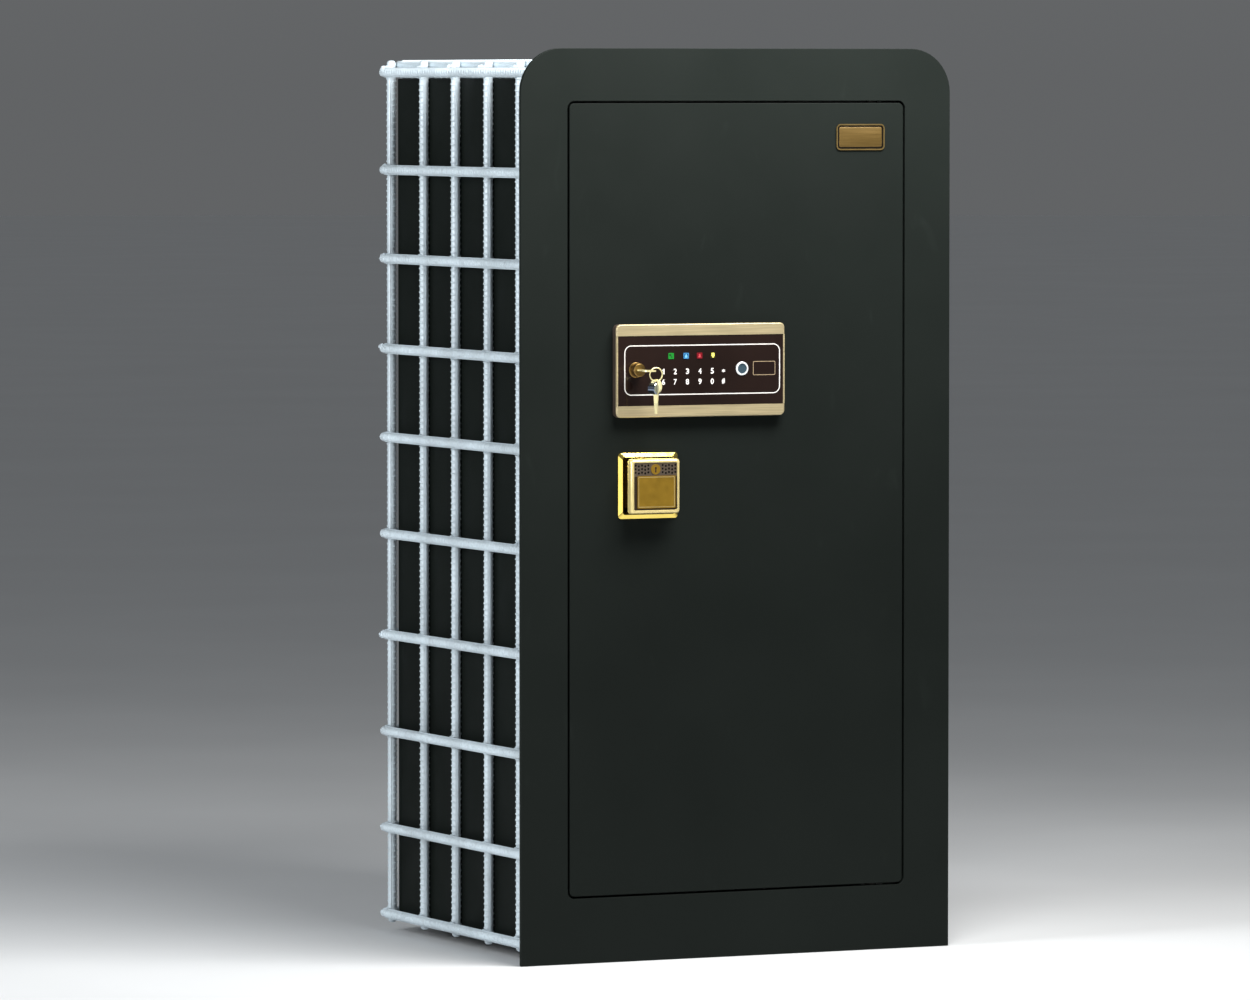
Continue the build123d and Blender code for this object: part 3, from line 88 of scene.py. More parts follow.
class SAFE_PG_paint(bpy.types.PropertyGroup):
    """Colours of the safe's main finishes."""

    front: colour("Front", "Powder coat on the plate and the door", (0.0098, 0.0124, 0.0110))
    body: colour("Body", "Paint on the body behind the cage", (0.0046, 0.0062, 0.0052))
    bars: colour("Bars", "Paint on the cage's bars", (0.56, 0.64, 0.69))
    liner: colour("Liner", "Paint inside the safe and on the door's back", (0.36, 0.37, 0.37))
    gold: colour("Gold", "Plating on the knob", (0.90, 0.68, 0.16))
    band: colour("Bands", "Satin metal on the keypad's bands", (0.525, 0.435, 0.255))
    window: colour("Window", "Gloss plastic of the keypad's window", (0.0125, 0.0068, 0.0054))
    print: colour("Print", "Ink of the keypad's outline and digits", (0.82, 0.80, 0.77))


class SAFE_PG_cage(bpy.types.PropertyGroup):
    """Sizes of the ribs and the welds on the cage."""

    pitch: length("Rib pitch", "Distance from one slanted rib to the next", 8.0)
    height: length("Rib height", "How far a slanted rib stands out of the bar", 1.15)
    width: length("Rib width", "Width of a slanted rib at its foot", 3.0)
    slant: length("Rib slant", "How far a rib climbs on its way round half the bar", 2.6)
    weld: length("Weld length", "Length of a weld bead where two bars cross", 10.0)


class SAFE_PG_keypad(bpy.types.PropertyGroup):
    """Sizes of the keypad's print."""

    line: length("Line", "Width of the white outline", 1.4)
    digit: length("Digit", "Height of a digit", 7.4)
    ink: length("Ink", "How far the print stands on the window", 0.06)


class SAFE_PG_stage(bpy.types.PropertyGroup):
    """Camera and lights."""

    lens: FloatProperty(name="Lens", description="Focal length of the camera", default=238.53, unit="CAMERA")
    floor: FloatProperty(name="Floor", description="Radius of the floor", default=60.0, unit="LENGTH")
    top: power("Top", "Power of the soft light above the front", 57.0)
    side: power("Side", "Power of the light beside the cage", 120.0)
    card: power("Card", "Power of the pale card beside the camera", 11.5)
    glint: power("Glint", "Power of the small light caught by the knob's upper edge", 0.7)
    sky: FloatProperty(name="Sky", description="Strength of the light from all round", default=0.21)


# Finishes


class Finish:
    """One material while its nodes are wired."""

    def __init__(self, name, metallic=0.0, specular=0.5, coat=0.0, coat_roughness=0.05):
        self.material = bpy.data.materials.new(name)
        self.material.use_nodes = True
        self.nodes = self.material.node_tree.nodes
        self.links = self.material.node_tree.links
        self.shader = self.nodes["Principled BSDF"]
        self.shader.inputs["Metallic"].default_value = metallic
        self.shader.inputs["Specular IOR Level"].default_value = specular
        self.shader.inputs["Coat Weight"].default_value = coat
        self.shader.inputs["Coat Roughness"].default_value = coat_roughness

    def place(self, stretch):
        """Position on the piece, squeezed along each axis."""
        position = self.nodes.new("ShaderNodeTexCoord").outputs["Object"]
        mapping = self.nodes.new("ShaderNodeMapping")
        mapping.inputs["Scale"].default_value = stretch
        self.links.new(position, mapping.inputs["Vector"])
        return mapping.outputs["Vector"]

    def noise(self, scale, detail=3.0, stretch=(1, 1, 1), warp=0.0):
        """Cloudy noise, finer with a larger scale."""
        node = self.nodes.new("ShaderNodeTexNoise")
        node.inputs["Scale"].default_value = scale
        node.inputs["Detail"].default_value = detail
        node.inputs["Distortion"].default_value = warp
        self.links.new(self.place(stretch), node.inputs["Vector"])
        return node.outputs["Fac"]

    def cells(self, scale):
        """Cells with a colour each, and the distance from their middles."""
        node = self.nodes.new("ShaderNodeTexVoronoi")
        node.inputs["Scale"].default_value = scale
        self.links.new(self.place((1, 1, 1)), node.inputs["Vector"])
        return node

    def along(self, axis):
        """Position along one axis, in metres."""
        split = self.nodes.new("ShaderNodeSeparateXYZ")
        self.links.new(self.place((1, 1, 1)), split.inputs["Vector"])
        return split.outputs["XYZ".index(axis)]

    def spread(self, value, low, high, start=0.3, end=0.7):
        """Value between start and end, set out between low and high."""
        node = self.nodes.new("ShaderNodeMapRange")
        for socket, number in (("From Min", start), ("From Max", end), ("To Min", low), ("To Max", high)):
            node.inputs[socket].default_value = number
        self.links.new(value, node.inputs["Value"])
        return node.outputs["Result"]

    def blend(self, share, first, second):
        """Mix of two colours or outputs."""
        node = self.nodes.new("ShaderNodeMix")
        node.data_type = "RGBA"
        for socket, value in ((node.inputs[0], share), (node.inputs[6], first), (node.inputs[7], second)):
            if isinstance(value, bpy.types.NodeSocket):
                self.links.new(value, socket)
            elif isinstance(value, (int, float)):
                socket.default_value = value
            else:
                socket.default_value = (*value, 1.0)
        return node.outputs[2]

    def ground(self, output):
        """Colour of the surface."""
        self.links.new(output, self.shader.inputs["Base Color"])

    def roughen(self, output):
        """Roughness of the surface."""
        self.links.new(output, self.shader.inputs["Roughness"])

    def emboss(self, height, depth, strength):
        """Bump from a height, as deep as given in metres."""
        node = self.nodes.new("ShaderNodeBump")
        node.inputs["Strength"].default_value = strength
        node.inputs["Distance"].default_value = depth
        self.links.new(height, node.inputs["Height"])
        self.links.new(node.outputs["Normal"], self.shader.inputs["Normal"])


def toned(value, factor):
    """Colour made darker or paler."""
    return tuple(min(1.0, part * factor) for part in value)


def powder_coat(name, tone, rough=(0.42, 0.58), specular=0.4, worn=1.5):
    """Baked coat: soft patches, fine orange peel and a few pale scuffs."""
    finish = Finish(name, specular=specular)
    patches = finish.noise(3.0, detail=4.0)
    peel = finish.noise(1500.0, detail=1.5)
    ground = finish.blend(finish.spread(patches, 0.0, 1.0), toned(tone, 0.86), toned(tone, 1.1))
    ground = finish.blend(finish.spread(peel, 0.0, 0.25, 0.5, 0.8), ground, toned(tone, worn))
    scuffs = finish.noise(38.0, detail=8.0, stretch=(1.0, 1.0, 0.35), warp=0.6)
    rubbed = finish.spread(scuffs, 0.0, 0.18, 0.66, 0.78)
    finish.ground(finish.blend(rubbed, ground, toned(tone, worn * 1.6)))
    finish.roughen(finish.spread(finish.noise(11.0, detail=5.0), *rough))
    finish.emboss(peel, 0.05 * MM, 0.5)
    return finish.material


def plated_metal(name, tone, rough=(0.12, 0.22), stretch=(1, 1, 1), tarnish=0.75, metallic=1.0):
    """Plated or polished metal: faint tarnish, smudges and fine polishing marks."""
    finish = Finish(name, metallic=metallic)
    cloud = finish.noise(28.0, detail=5.0, warp=0.4)
    marks = finish.noise(500.0, detail=3.0, stretch=stretch)
    ground = finish.blend(finish.spread(cloud, 0.0, 1.0, 0.35, 0.72), tone, toned(tone, tarnish))
    worn = finish.spread(marks, 0.0, 0.2, 0.55, 0.8)
    finish.ground(finish.blend(worn, ground, toned(tone, tarnish * 0.8)))
    smudges = finish.noise(60.0, detail=4.0)
    finish.roughen(finish.spread(smudges, *rough))
    finish.emboss(marks, 0.01 * MM, 0.6)
    return finish.material


def zinc_spangle(name, tone):
    """Zinc plate with faint crystals."""
    finish = Finish(name, metallic=1.0)
    crystals = finish.cells(160.0)
    shade = finish.spread(crystals.outputs["Color"], 0.0, 1.0, 0.1, 0.9)
    ground = finish.blend(shade, toned(tone, 0.8), tone)
    stain = finish.noise(18.0, detail=5.0)
    finish.ground(finish.blend(finish.spread(stain, 0.0, 0.5, 0.55, 0.8), ground, toned(tone, 0.55)))
    finish.roughen(finish.spread(crystals.outputs["Color"], 0.3, 0.5, 0.1, 0.9))
    finish.emboss(finish.noise(900.0), 0.02 * MM, 0.5)
    return finish.material


def moulded(name, tone, rough=(0.35, 0.5), grain=1800.0, coat=0.0):
    """Plastic or rubber with a fine moulded grain."""
    finish = Finish(name, coat=coat)
    cloud = finish.noise(20.0, detail=3.0)
    texture = finish.noise(grain, detail=2.0)
    ground = finish.blend(finish.spread(cloud, 0.0, 1.0), toned(tone, 0.85), toned(tone, 1.15))
    finish.ground(finish.blend(finish.spread(texture, 0.0, 0.3, 0.5, 0.8), ground, toned(tone, 1.4)))
    finish.roughen(finish.spread(finish.noise(45.0, detail=5.0), *rough))
    finish.emboss(texture, 0.03 * MM, 0.4)
    return finish.material


def cast_fill(name):
    """Cast filling with sand grains, and small air holes painted dark as shade."""
    finish = Finish(name, specular=0.25)
    sand = finish.noise(420.0, detail=6.0)
    holes = finish.cells(240.0)
    # Painted shade: dark dots stand in for the hollows of the air holes
    hole_shade = finish.spread(holes.outputs["Distance"], 1.0, 0.0, 0.0, 0.35)
    ground = finish.blend(finish.spread(sand, 0.0, 1.0), (0.30, 0.28, 0.25), (0.52, 0.50, 0.46))
    finish.ground(finish.blend(hole_shade, ground, (0.16, 0.15, 0.13)))
    finish.roughen(finish.spread(sand, 0.8, 0.98))
    finish.emboss(sand, 0.4 * MM, 0.8)
    return finish.material


def cage_paint(name, tone):
    """Pale paint over rolled bar: cloudy, with darker runs by the ribs and rub marks."""
    finish = Finish(name, metallic=0.1, specular=0.55, coat=0.15, coat_roughness=0.25)
    cloud = finish.noise(14.0, detail=6.0, warp=0.3)
    scale = finish.noise(230.0, detail=5.0)
    ground = finish.blend(finish.spread(cloud, 0.0, 1.0), toned(tone, 0.86), toned(tone, 1.12))
    ground = finish.blend(finish.spread(scale, 0.0, 0.45, 0.52, 0.78), ground, toned(tone, 0.62))
    rubs = finish.noise(60.0, detail=8.0, stretch=(1.0, 1.0, 0.4), warp=1.0)
    finish.ground(finish.blend(finish.spread(rubs, 0.0, 0.35, 0.64, 0.76), ground, (0.30, 0.31, 0.32)))
    finish.roughen(finish.spread(scale, 0.3, 0.52))
    finish.emboss(scale, 0.22 * MM, 0.55)
    return finish.material


def smoked_window(name, tone):
    """Glossy smoked plastic with faint finger smears."""
    finish = Finish(name, specular=0.3, coat=0.12, coat_roughness=0.03)
    cloud = finish.noise(9.0, detail=2.0)
    finish.ground(finish.blend(finish.spread(cloud, 0.0, 1.0), toned(tone, 0.8), toned(tone, 1.25)))
    smears = finish.noise(34.0, detail=6.0, stretch=(1.0, 1.0, 0.6), warp=1.2)
    finish.roughen(finish.spread(smears, 0.07, 0.24, 0.4, 0.75))
    finish.emboss(finish.noise(6.0, detail=1.0), 0.4 * MM, 0.15)
    return finish.material


def brushed_band(name, tone):
    """Satin gold brushed along its length."""
    finish = Finish(name, metallic=0.5)
    lines = finish.noise(900.0, detail=2.0, stretch=(0.02, 1.0, 1.0))
    cloud = finish.noise(16.0, detail=4.0)
    ground = finish.blend(finish.spread(lines, 0.0, 1.0), toned(tone, 0.86), toned(tone, 1.14))
    finish.ground(finish.blend(finish.spread(cloud, 0.0, 0.4, 0.5, 0.8), ground, toned(tone, 0.8)))
    finish.roughen(finish.spread(lines, 0.28, 0.42))
    finish.emboss(lines, 0.02 * MM, 0.5)
    return finish.material


def rose_gold(name, tone, shade, face):
    """Polished gold whose flat face, at the given step along Y, is painted dark as shade; its slopes keep
    the gold.
    """
    finish = Finish(name, metallic=1.0)
    cloud = finish.noise(28.0, detail=5.0, warp=0.4)
    ground = finish.blend(finish.spread(cloud, 0.0, 1.0, 0.35, 0.72), tone, toned(tone, 0.85))
    # Painted shade: the flat face takes the dark tone and the sloped bevel keeps the gold
    sloped = finish.spread(finish.along("Y"), 0.0, 1.0, face + 0.1 * MM, face + 0.25 * MM)
    finish.ground(finish.blend(sloped, shade, ground))
    finish.roughen(finish.spread(finish.noise(60.0, detail=4.0), 0.12, 0.2))
    finish.emboss(finish.noise(500.0), 0.01 * MM, 0.6)
    return finish.material


def recessed_gold(name, tones, levels, strip=None):
    """Metal toned by depth: its raised faces, and the ground below them and the pockets darkened as painted
    shade.

    The levels are the two places along Y where the ground and the pockets start. The strip is a height
    and the tone that the ground takes above it.
    """
    finish = Finish(name, metallic=0.75)
    cloud = finish.noise(90.0, detail=5.0)
    face, ground, pocket = tones
    if strip is not None:
        height, pale = strip
        above = finish.spread(finish.along("Z"), 0.0, 1.0, height, height + 0.2 * MM)
        ground = finish.blend(above, ground, pale)
    tone = finish.blend(finish.spread(cloud, 0.0, 1.0), toned(face, 0.93), toned(face, 1.06))
    # Painted shade: each deeper level takes its darker tone
    for level, lower in zip(levels, (ground, pocket)):
        below = finish.spread(finish.along("Y"), 0.0, 1.0, level - 0.1 * MM, level + 0.1 * MM)
        tone = finish.blend(below, tone, lower)
    finish.ground(tone)
    finish.roughen(finish.spread(cloud, 0.36, 0.44))
    finish.emboss(finish.noise(1600.0), 0.02 * MM, 0.5)
    return finish.material


def painted_glow_lenses(name, lenses):
    """Printed lenses in a row along X, with painted light in their colour: the share of the row where each
    starts, and its colour.
    """
    finish = Finish(name, specular=0.5, coat=0.3)
    ramp = finish.nodes.new("ShaderNodeValToRGB")
    ramp.color_ramp.interpolation = "CONSTANT"
    low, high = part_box("indicator_lenses")
    finish.links.new(finish.spread(finish.along("X"), 0.0, 1.0, low.x, high.x), ramp.inputs["Fac"])
    stops = ramp.color_ramp.elements
    while len(stops) < len(lenses):
        stops.new(1.0)
    for stop, (start, tone) in zip(stops, lenses):
        stop.position = start
        stop.color = (*tone, 1.0)
    speck = finish.noise(700.0, detail=2.0)
    finish.ground(finish.blend(finish.spread(speck, 0.0, 0.3), ramp.outputs["Color"], (0.0, 0.0, 0.0)))
    # Painted light: the printed lenses emit their own colour
    finish.links.new(ramp.outputs["Color"], finish.shader.inputs["Emission Color"])
    finish.shader.inputs["Emission Strength"].default_value = 0.25
    finish.roughen(finish.spread(speck, 0.15, 0.3))
    finish.emboss(speck, 0.02 * MM, 0.3)
    return finish.material


def sensor_glass(name):
    """Dark glass of the sensor with faint ridges like a fingertip's."""
    finish = Finish(name, specular=0.4, coat=0.15, coat_roughness=0.04)
    wave = finish.nodes.new("ShaderNodeTexWave")
    wave.wave_type = "RINGS"
    wave.rings_direction = "Y"
    wave.inputs["Scale"].default_value = 420.0
    wave.inputs["Distortion"].default_value = 3.0
    centre = (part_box("sensor_lens")[0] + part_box("sensor_lens")[1]) / 2
    shift = finish.nodes.new("ShaderNodeMapping")
    shift.inputs["Location"].default_value = (-centre.x, 0.0, -centre.z)
    finish.links.new(finish.nodes.new("ShaderNodeTexCoord").outputs["Object"], shift.inputs["Vector"])
    finish.links.new(shift.outputs["Vector"], wave.inputs["Vector"])
    ridges = finish.spread(wave.outputs["Fac"], 0.0, 1.0)
    finish.ground(finish.blend(ridges, (0.012, 0.025, 0.034), (0.06, 0.10, 0.13)))
    finish.roughen(finish.spread(finish.noise(80.0), 0.1, 0.2))
    finish.emboss(wave.outputs["Fac"], 0.03 * MM, 0.4)
    return finish.material


def ink(name, tone, painted_glow=0.0):
    """Screen-printed ink with slightly uneven cover, emitting its own colour as painted light."""
    finish = Finish(name, specular=0.4)
    cover = finish.noise(800.0, detail=4.0)
    finish.ground(finish.blend(finish.spread(cover, 0.0, 0.6, 0.5, 0.8), tone, toned(tone, 0.85)))
    # Painted light: the print emits its tone, though it is no lamp
    finish.shader.inputs["Emission Color"].default_value = (*tone, 1.0)
    finish.shader.inputs["Emission Strength"].default_value = painted_glow
    finish.roughen(finish.spread(cover, 0.4, 0.6))
    finish.emboss(cover, 0.02 * MM, 0.3)
    return finish.material


def floor_finish(name):
    """Plain pale floor with a barely seen mottle."""
    finish = Finish(name, specular=0.2)
    mottle = finish.noise(1.4, detail=6.0)
    finish.ground(finish.blend(finish.spread(mottle, 0.0, 1.0), (0.66, 0.67, 0.68), (0.70, 0.71, 0.72)))
    finish.roughen(finish.spread(mottle, 0.6, 0.75))
    finish.emboss(finish.noise(120.0), 0.3 * MM, 0.1)
    return finish.material


# Pieces

SHARP = math.radians(40)


def dress(material, *nodes):
    """Give CAD nodes their finish."""
    for node in nodes:
        mesh = NODES[node].data
        mesh.materials.clear()
        mesh.materials.append(material)


def ease_edges(node, width):
    """Round the sharp edges of a CAD node by modifiers, with its own mesh left as it is."""
    piece = NODES[node]
    weld = piece.modifiers.new("weld", "WELD")
    weld.merge_threshold = 0.001 * MM
    bevel = piece.modifiers.new("ease", "BEVEL")
    bevel.width = width
    bevel.segments = 2
    bevel.limit_method = "ANGLE"
    bevel.angle_limit = SHARP
    bevel.use_clamp_overlap = False


def nodes_in(slot):
    """CAD nodes that take the same finish."""
    return [node for node, named in SLOTS.items() if named == slot]


def add_piece(name, shape, material, body, smooth=True):
    """New piece from a bmesh or a stock of faces, riding on a body."""
    mesh = bpy.data.meshes.new(name)
    if isinstance(shape, Stock):
        mesh.from_pydata(shape.points, [], shape.faces)
    else:
        shape.to_mesh(mesh)
        shape.free()
    for face in mesh.polygons:
        face.use_smooth = smooth
    mesh.set_sharp_from_angle(angle=SHARP)
    mesh.materials.append(material)
    piece = bpy.data.objects.new(name, mesh)
    bpy.context.scene.collection.objects.link(piece)
    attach(piece, body)
    return piece


class Stock:
    """Points and faces gathered quickly for pieces with thousands of like parts."""

    def __init__(self):
        self.points = []
        self.faces = []

    def grid(self, rows, closed=False):
        """Faces between rows of points of the same length."""
        start = len(self.points)
        width = len(rows[0])
        for row in rows:
            self.points.extend(row)
        for r in range(len(rows) - 1):
            for i in range(width if closed else width - 1):
                j = (i + 1) % width
                low = start + r * width
                high = low + width
                self.faces.append((low + i, low + j, high + j, high + i))


def circle_loop(x, z, radius, count):
    """Points round a circle."""
    angles = [2 * math.pi * i / count for i in range(count)]
    return [(x + radius * math.cos(angle), z + radius * math.sin(angle)) for angle in angles]


def rounded_loop(x0, x1, z0, z1, radius, steps=8):
    """Points round a rectangle with round corners."""
    points = []
    for cx, cz, start in ((x1 - radius, z1 - radius, 0), (x0 + radius, z1 - radius, 90),
                          (x0 + radius, z0 + radius, 180), (x1 - radius, z0 + radius, 270)):
        for i in range(steps + 1):
            angle = math.radians(start + 90 * i / steps)
            points.append((cx + radius * math.cos(angle), cz + radius * math.sin(angle)))
    return points


def framing_loops(box, width, radii, steps=8):
    """Outer and inner loop of a frame of one width, each with its corner radius."""
    x0, x1, z0, z1 = box
    outer = rounded_loop(x0, x1, z0, z1, radii[0], steps)
    inner = rounded_loop(x0 + width, x1 - width, z0 + width, z1 - width, radii[1], steps)
    return outer, inner


def placed(points, x, z, scale=MM, turn=0):
    """Outline of a sign at its place, scaled and turned by degrees."""
    c, s = math.cos(math.radians(turn)), math.sin(math.radians(turn))
    return [(x + (px * c - pz * s) * scale, z + (px * s + pz * c) * scale) for px, pz in points]


def raised_band(bm, outer, inner, y_back, y_front):
    """Band between two loops of as many points, standing from y_back to y_front."""
    rows = []
    for loop, y in ((outer, y_back), (outer, y_front), (inner, y_front), (inner, y_back)):
        rows.append([bm.verts.new((x, y, z)) for x, z in loop])
    count = len(outer)
    for first, second in zip(rows, rows[1:]):
        for i in range(count):
            j = (i + 1) % count
            bm.faces.new((first[i], first[j], second[j], second[i]))


def raised_patch(bm, loop, y_back, y_front):
    """Filled outline standing from y_back to y_front."""
    back = [bm.verts.new((x, y_back, z)) for x, z in loop]
    front = [bm.verts.new((x, y_front, z)) for x, z in loop]
    bm.faces.new(front)
    for i in range(len(loop)):
        j = (i + 1) % len(loop)
        bm.faces.new((back[i], back[j], front[j], front[i]))


def bevelled_patch(bm, outer, inner, y_back, y_front):
    """Filled outline whose edge slopes from the outer loop to the inner one."""
    count = len(outer)
    back = [bm.verts.new((x, y_back, z)) for x, z in outer]
    shoulder = [bm.verts.new((x, (y_back + y_front) / 2, z)) for x, z in outer]
    front = [bm.verts.new((x, y_front, z)) for x, z in inner]
    for low, high in ((back, shoulder), (shoulder, front)):
        for i in range(count):
            j = (i + 1) % count
            bm.faces.new((low[i], low[j], high[j], high[i]))
    bm.faces.new(front)


def printed_character(bm, sign, x, z, height, width, y_front, depth):
    """One printed character, scaled to its place and turned to face the user."""
    curve = bpy.data.curves.new("character", "FONT")
    curve.body = sign
    curve.bevel_depth = STROKE_GAIN
    curve.bevel_resolution = 0
    curve.extrude = 0.01
    holder = bpy.data.objects.new("character", curve)
    bpy.context.scene.collection.objects.link(holder)
    bpy.context.view_layer.update()
    mesh = bpy.data.meshes.new_from_object(holder.evaluated_get(bpy.context.evaluated_depsgraph_get()))
    bpy.data.objects.remove(holder)
    bpy.data.curves.remove(curve)
    xs = [v.co.x for v in mesh.vertices]
    ys = [v.co.y for v in mesh.vertices]
    zs = [v.co.z for v in mesh.vertices]
    middle = Vector(((min(xs) + max(xs)) / 2, (min(ys) + max(ys)) / 2, max(zs)))
    wide = width / (max(xs) - min(xs))
    tall = height / (max(ys) - min(ys))
    thick = depth / (max(zs) - min(zs))
    for vert in mesh.vertices:
        local = vert.co - middle
        vert.co = (x + local.x * wide, y_front - local.z * thick, z + local.y * tall)
    bm.from_mesh(mesh)
    bpy.data.meshes.remove(mesh)


# Cage

# Radius of a bar, and the length at each of its ends that has no slanted ribs
BAR_RADIUS = 6.0 * MM
BARE_END = 8.0 * MM

# A slanted rib's reach to either side in degrees and its steps on the way, the width of its crest in shares
# of its foot, how full it stays towards its tips, and how deep its foot sits in the bar
RIB_REACH = 76
RIB_STEPS = 6
CREST_SHARE = 0.35
CREST_FULLNESS = 0.6
RIB_ROOT = 0.1 * MM


def bar_lines(node):
    """Each bar of a cage node: its two ends, and the way its long ribs face."""
    bm = bmesh.new()
    bm.from_mesh(NODES[node].data)
    bmesh.ops.remove_doubles(bm, verts=bm.verts, dist=1e-6)
    seen = set()
    lines = []
    for seed in bm.verts:
        if seed in seen:
            continue
        island = []
        stack = [seed]
        seen.add(seed)
        while stack:
            vert = stack.pop()
            island.append(vert.co)
            for edge in vert.link_edges:
                other = edge.other_vert(vert)
                if other not in seen:
                    seen.add(other)
                    stack.append(other)
        low = Vector([min(p[i] for p in island) for i in range(3)])
        high = Vector([max(p[i] for p in island) for i in range(3)])
        size = high - low
        long = max(range(3), key=lambda i: size[i])
        side, depth = [i for i in range(3) if i != long]
        middle = (low + high) / 2
        start = middle.copy()
        end = middle.copy()
        start[long] = low[long]
        end[long] = high[long]
        ribs = Vector((0, 0, 0))
        slack = 0.3 * MM
        if size[side] > size[depth] - slack:
            ribs[side] = 1.0
        if size[depth] > size[side] - slack:
            ribs[depth] = 1.0
        lines.append((start, end, ribs.normalized()))
    bm.free()
    return lines


def slanted_ribs(stock, start, end, ribs, sizes):
    """Crescent ribs on both faces of a bar, between its long ribs, which fade out at their two tips."""
    along = (end - start).normalized()
    count = int(((end - start).length - 2 * BARE_END) / sizes.pitch)
    half = along * sizes.width / 2
    top = half * CREST_SHARE
    for side in (1, -1):
        face = along.cross(ribs) * side
        for k in range(count):
            middle = start + along * (BARE_END + sizes.pitch * (k + 0.5 + 0.25 * side))
            rows = []
            for i in range(RIB_STEPS + 1):
                turn = (2 * i / RIB_STEPS - 1) * math.radians(RIB_REACH)
                way = face * math.cos(turn) + ribs * math.sin(turn)
                foot = middle + along * (sizes.slant * (i / RIB_STEPS - 0.5))
                crest = 0.0
                if 0 < i < RIB_STEPS:
                    crest = sizes.height * math.cos(turn * 90 / RIB_REACH) ** CREST_FULLNESS
                low = way * (BAR_RADIUS - RIB_ROOT)
                high = way * (BAR_RADIUS + crest)
                rows.append([foot - half + low, foot - top + high, foot + top + high, foot + half + low])
            stock.grid(rows)


def lump(stock, centre, axes, spin):
    """Lumpy bead of weld metal with the given half axes."""
    rows = []
    rings = 6
    corners = 9
    for i in range(rings + 1):
        tilt = math.pi * (i / rings - 0.5)
        row = []
        for k in range(corners):
            turn = 2 * math.pi * k / corners
            x, y, z = math.sin(tilt), math.cos(tilt) * math.cos(turn), math.cos(tilt) * math.sin(turn)
            swell = 1.0 + 0.12 * math.sin(x * 9.0 + spin) + 0.08 * math.sin(y * 7.0 + spin * 3.0)
            row.append(centre + (axes[0] * x + axes[1] * y + axes[2] * z) * swell)
        rows.append(row)
    stock.grid(rows, closed=True)


def crossing_welds(stock, first, second, length, seed):
    """Two beads wherever a bar of the first group lies on a bar of the second."""
    dice = random.Random(seed)
    farthest = 14.0 * MM
    beside, thick, deep = 4.9 * MM, 2.6 * MM, 3.4 * MM
    for start, end, _ in first:
        along = (end - start).normalized()
        for low, high, _ in second:
            across = (high - low).normalized()
            normal = along.cross(across)
            if normal.length < 0.9:
                continue
            here = start + along * (low - start).dot(along)
            gap = (low - start).dot(normal)
            reach = (here - low).dot(across)
            inside = 0 < (here - start).dot(along) < (end - start).length
            if not inside or not 0 < reach < (high - low).length or abs(gap) > farthest:
                continue
            for side in (1, -1):
                size = dice.uniform(0.85, 1.15)
                place = here + normal * gap / 2 + along * side * beside
                axes = (across * length / 2 * size, along * thick * size, normal * deep)
                lump(stock, place, axes, dice.uniform(0, 6.28))


def collar_welds(stock, lines, plate_y, seed):
    """Ring of weld where a bar meets the back of the front plate."""
    dice = random.Random(seed)
    beads = 10
    reach, half_length, half_width = 6.4 * MM, 2.9 * MM, 1.5 * MM
    for start, end, _ in lines:
        near = start if start.y < end.y else end
        for i in range(beads):
            angle = 2 * math.pi * i / beads
            way = Vector((math.cos(angle), 0.0, math.sin(angle)))
            tangent = Vector((-math.sin(angle), 0.0, math.cos(angle)))
            centre = Vector((near.x, plate_y + 1.0 * MM, near.z)) + way * reach
            axes = (tangent * half_length, way * half_width, Vector((0, half_width, 0)))
            lump(stock, centre, axes, dice.uniform(0, 6.28))


def weld_knots(stock, uprights, crossbars, seed):
    """Rough knots of weld at the uprights' upper ends, and on the crossbars' rear ends."""
    dice = random.Random(seed)
    upper_lumps, rear_lumps = 16, 7
    top = max(start.z for start, _, _ in crossbars)
    middle_x = crossbars[0][0].x
    places = [Vector((middle_x, start.y, top)) for start, _, _ in uprights]
    places += [Vector((middle_x, max(start.y, end.y) - 7.0 * MM, start.z)) for start, end, _ in crossbars]
    inward = Vector((-math.copysign(1.0, middle_x), 0.0, 0.0))
    for n, place in enumerate(places):
        upper = n < len(uprights)
        for _ in range(upper_lumps if upper else rear_lumps):
            way = Vector((dice.uniform(-1, 1), dice.uniform(-1, 1), dice.uniform(-0.3, 1)))
            way.normalize()
            reach = dice.uniform(3.0, 4.8) * MM
            centre = place + way * reach
            if upper:
                inset = inward * dice.uniform(3.0, 13.0) * MM
                lift = Vector((0, 0, dice.uniform(0.5, 4.5) * MM))
                centre += inset + lift
            size = dice.uniform(2.8, 4.2) * MM
            longer = size * dice.uniform(0.8, 1.3)
            axes = (Vector((size, 0, 0)), Vector((0, longer, 0)), Vector((0, 0, size)))
            lump(stock, centre, axes, dice.uniform(0, 6.28))


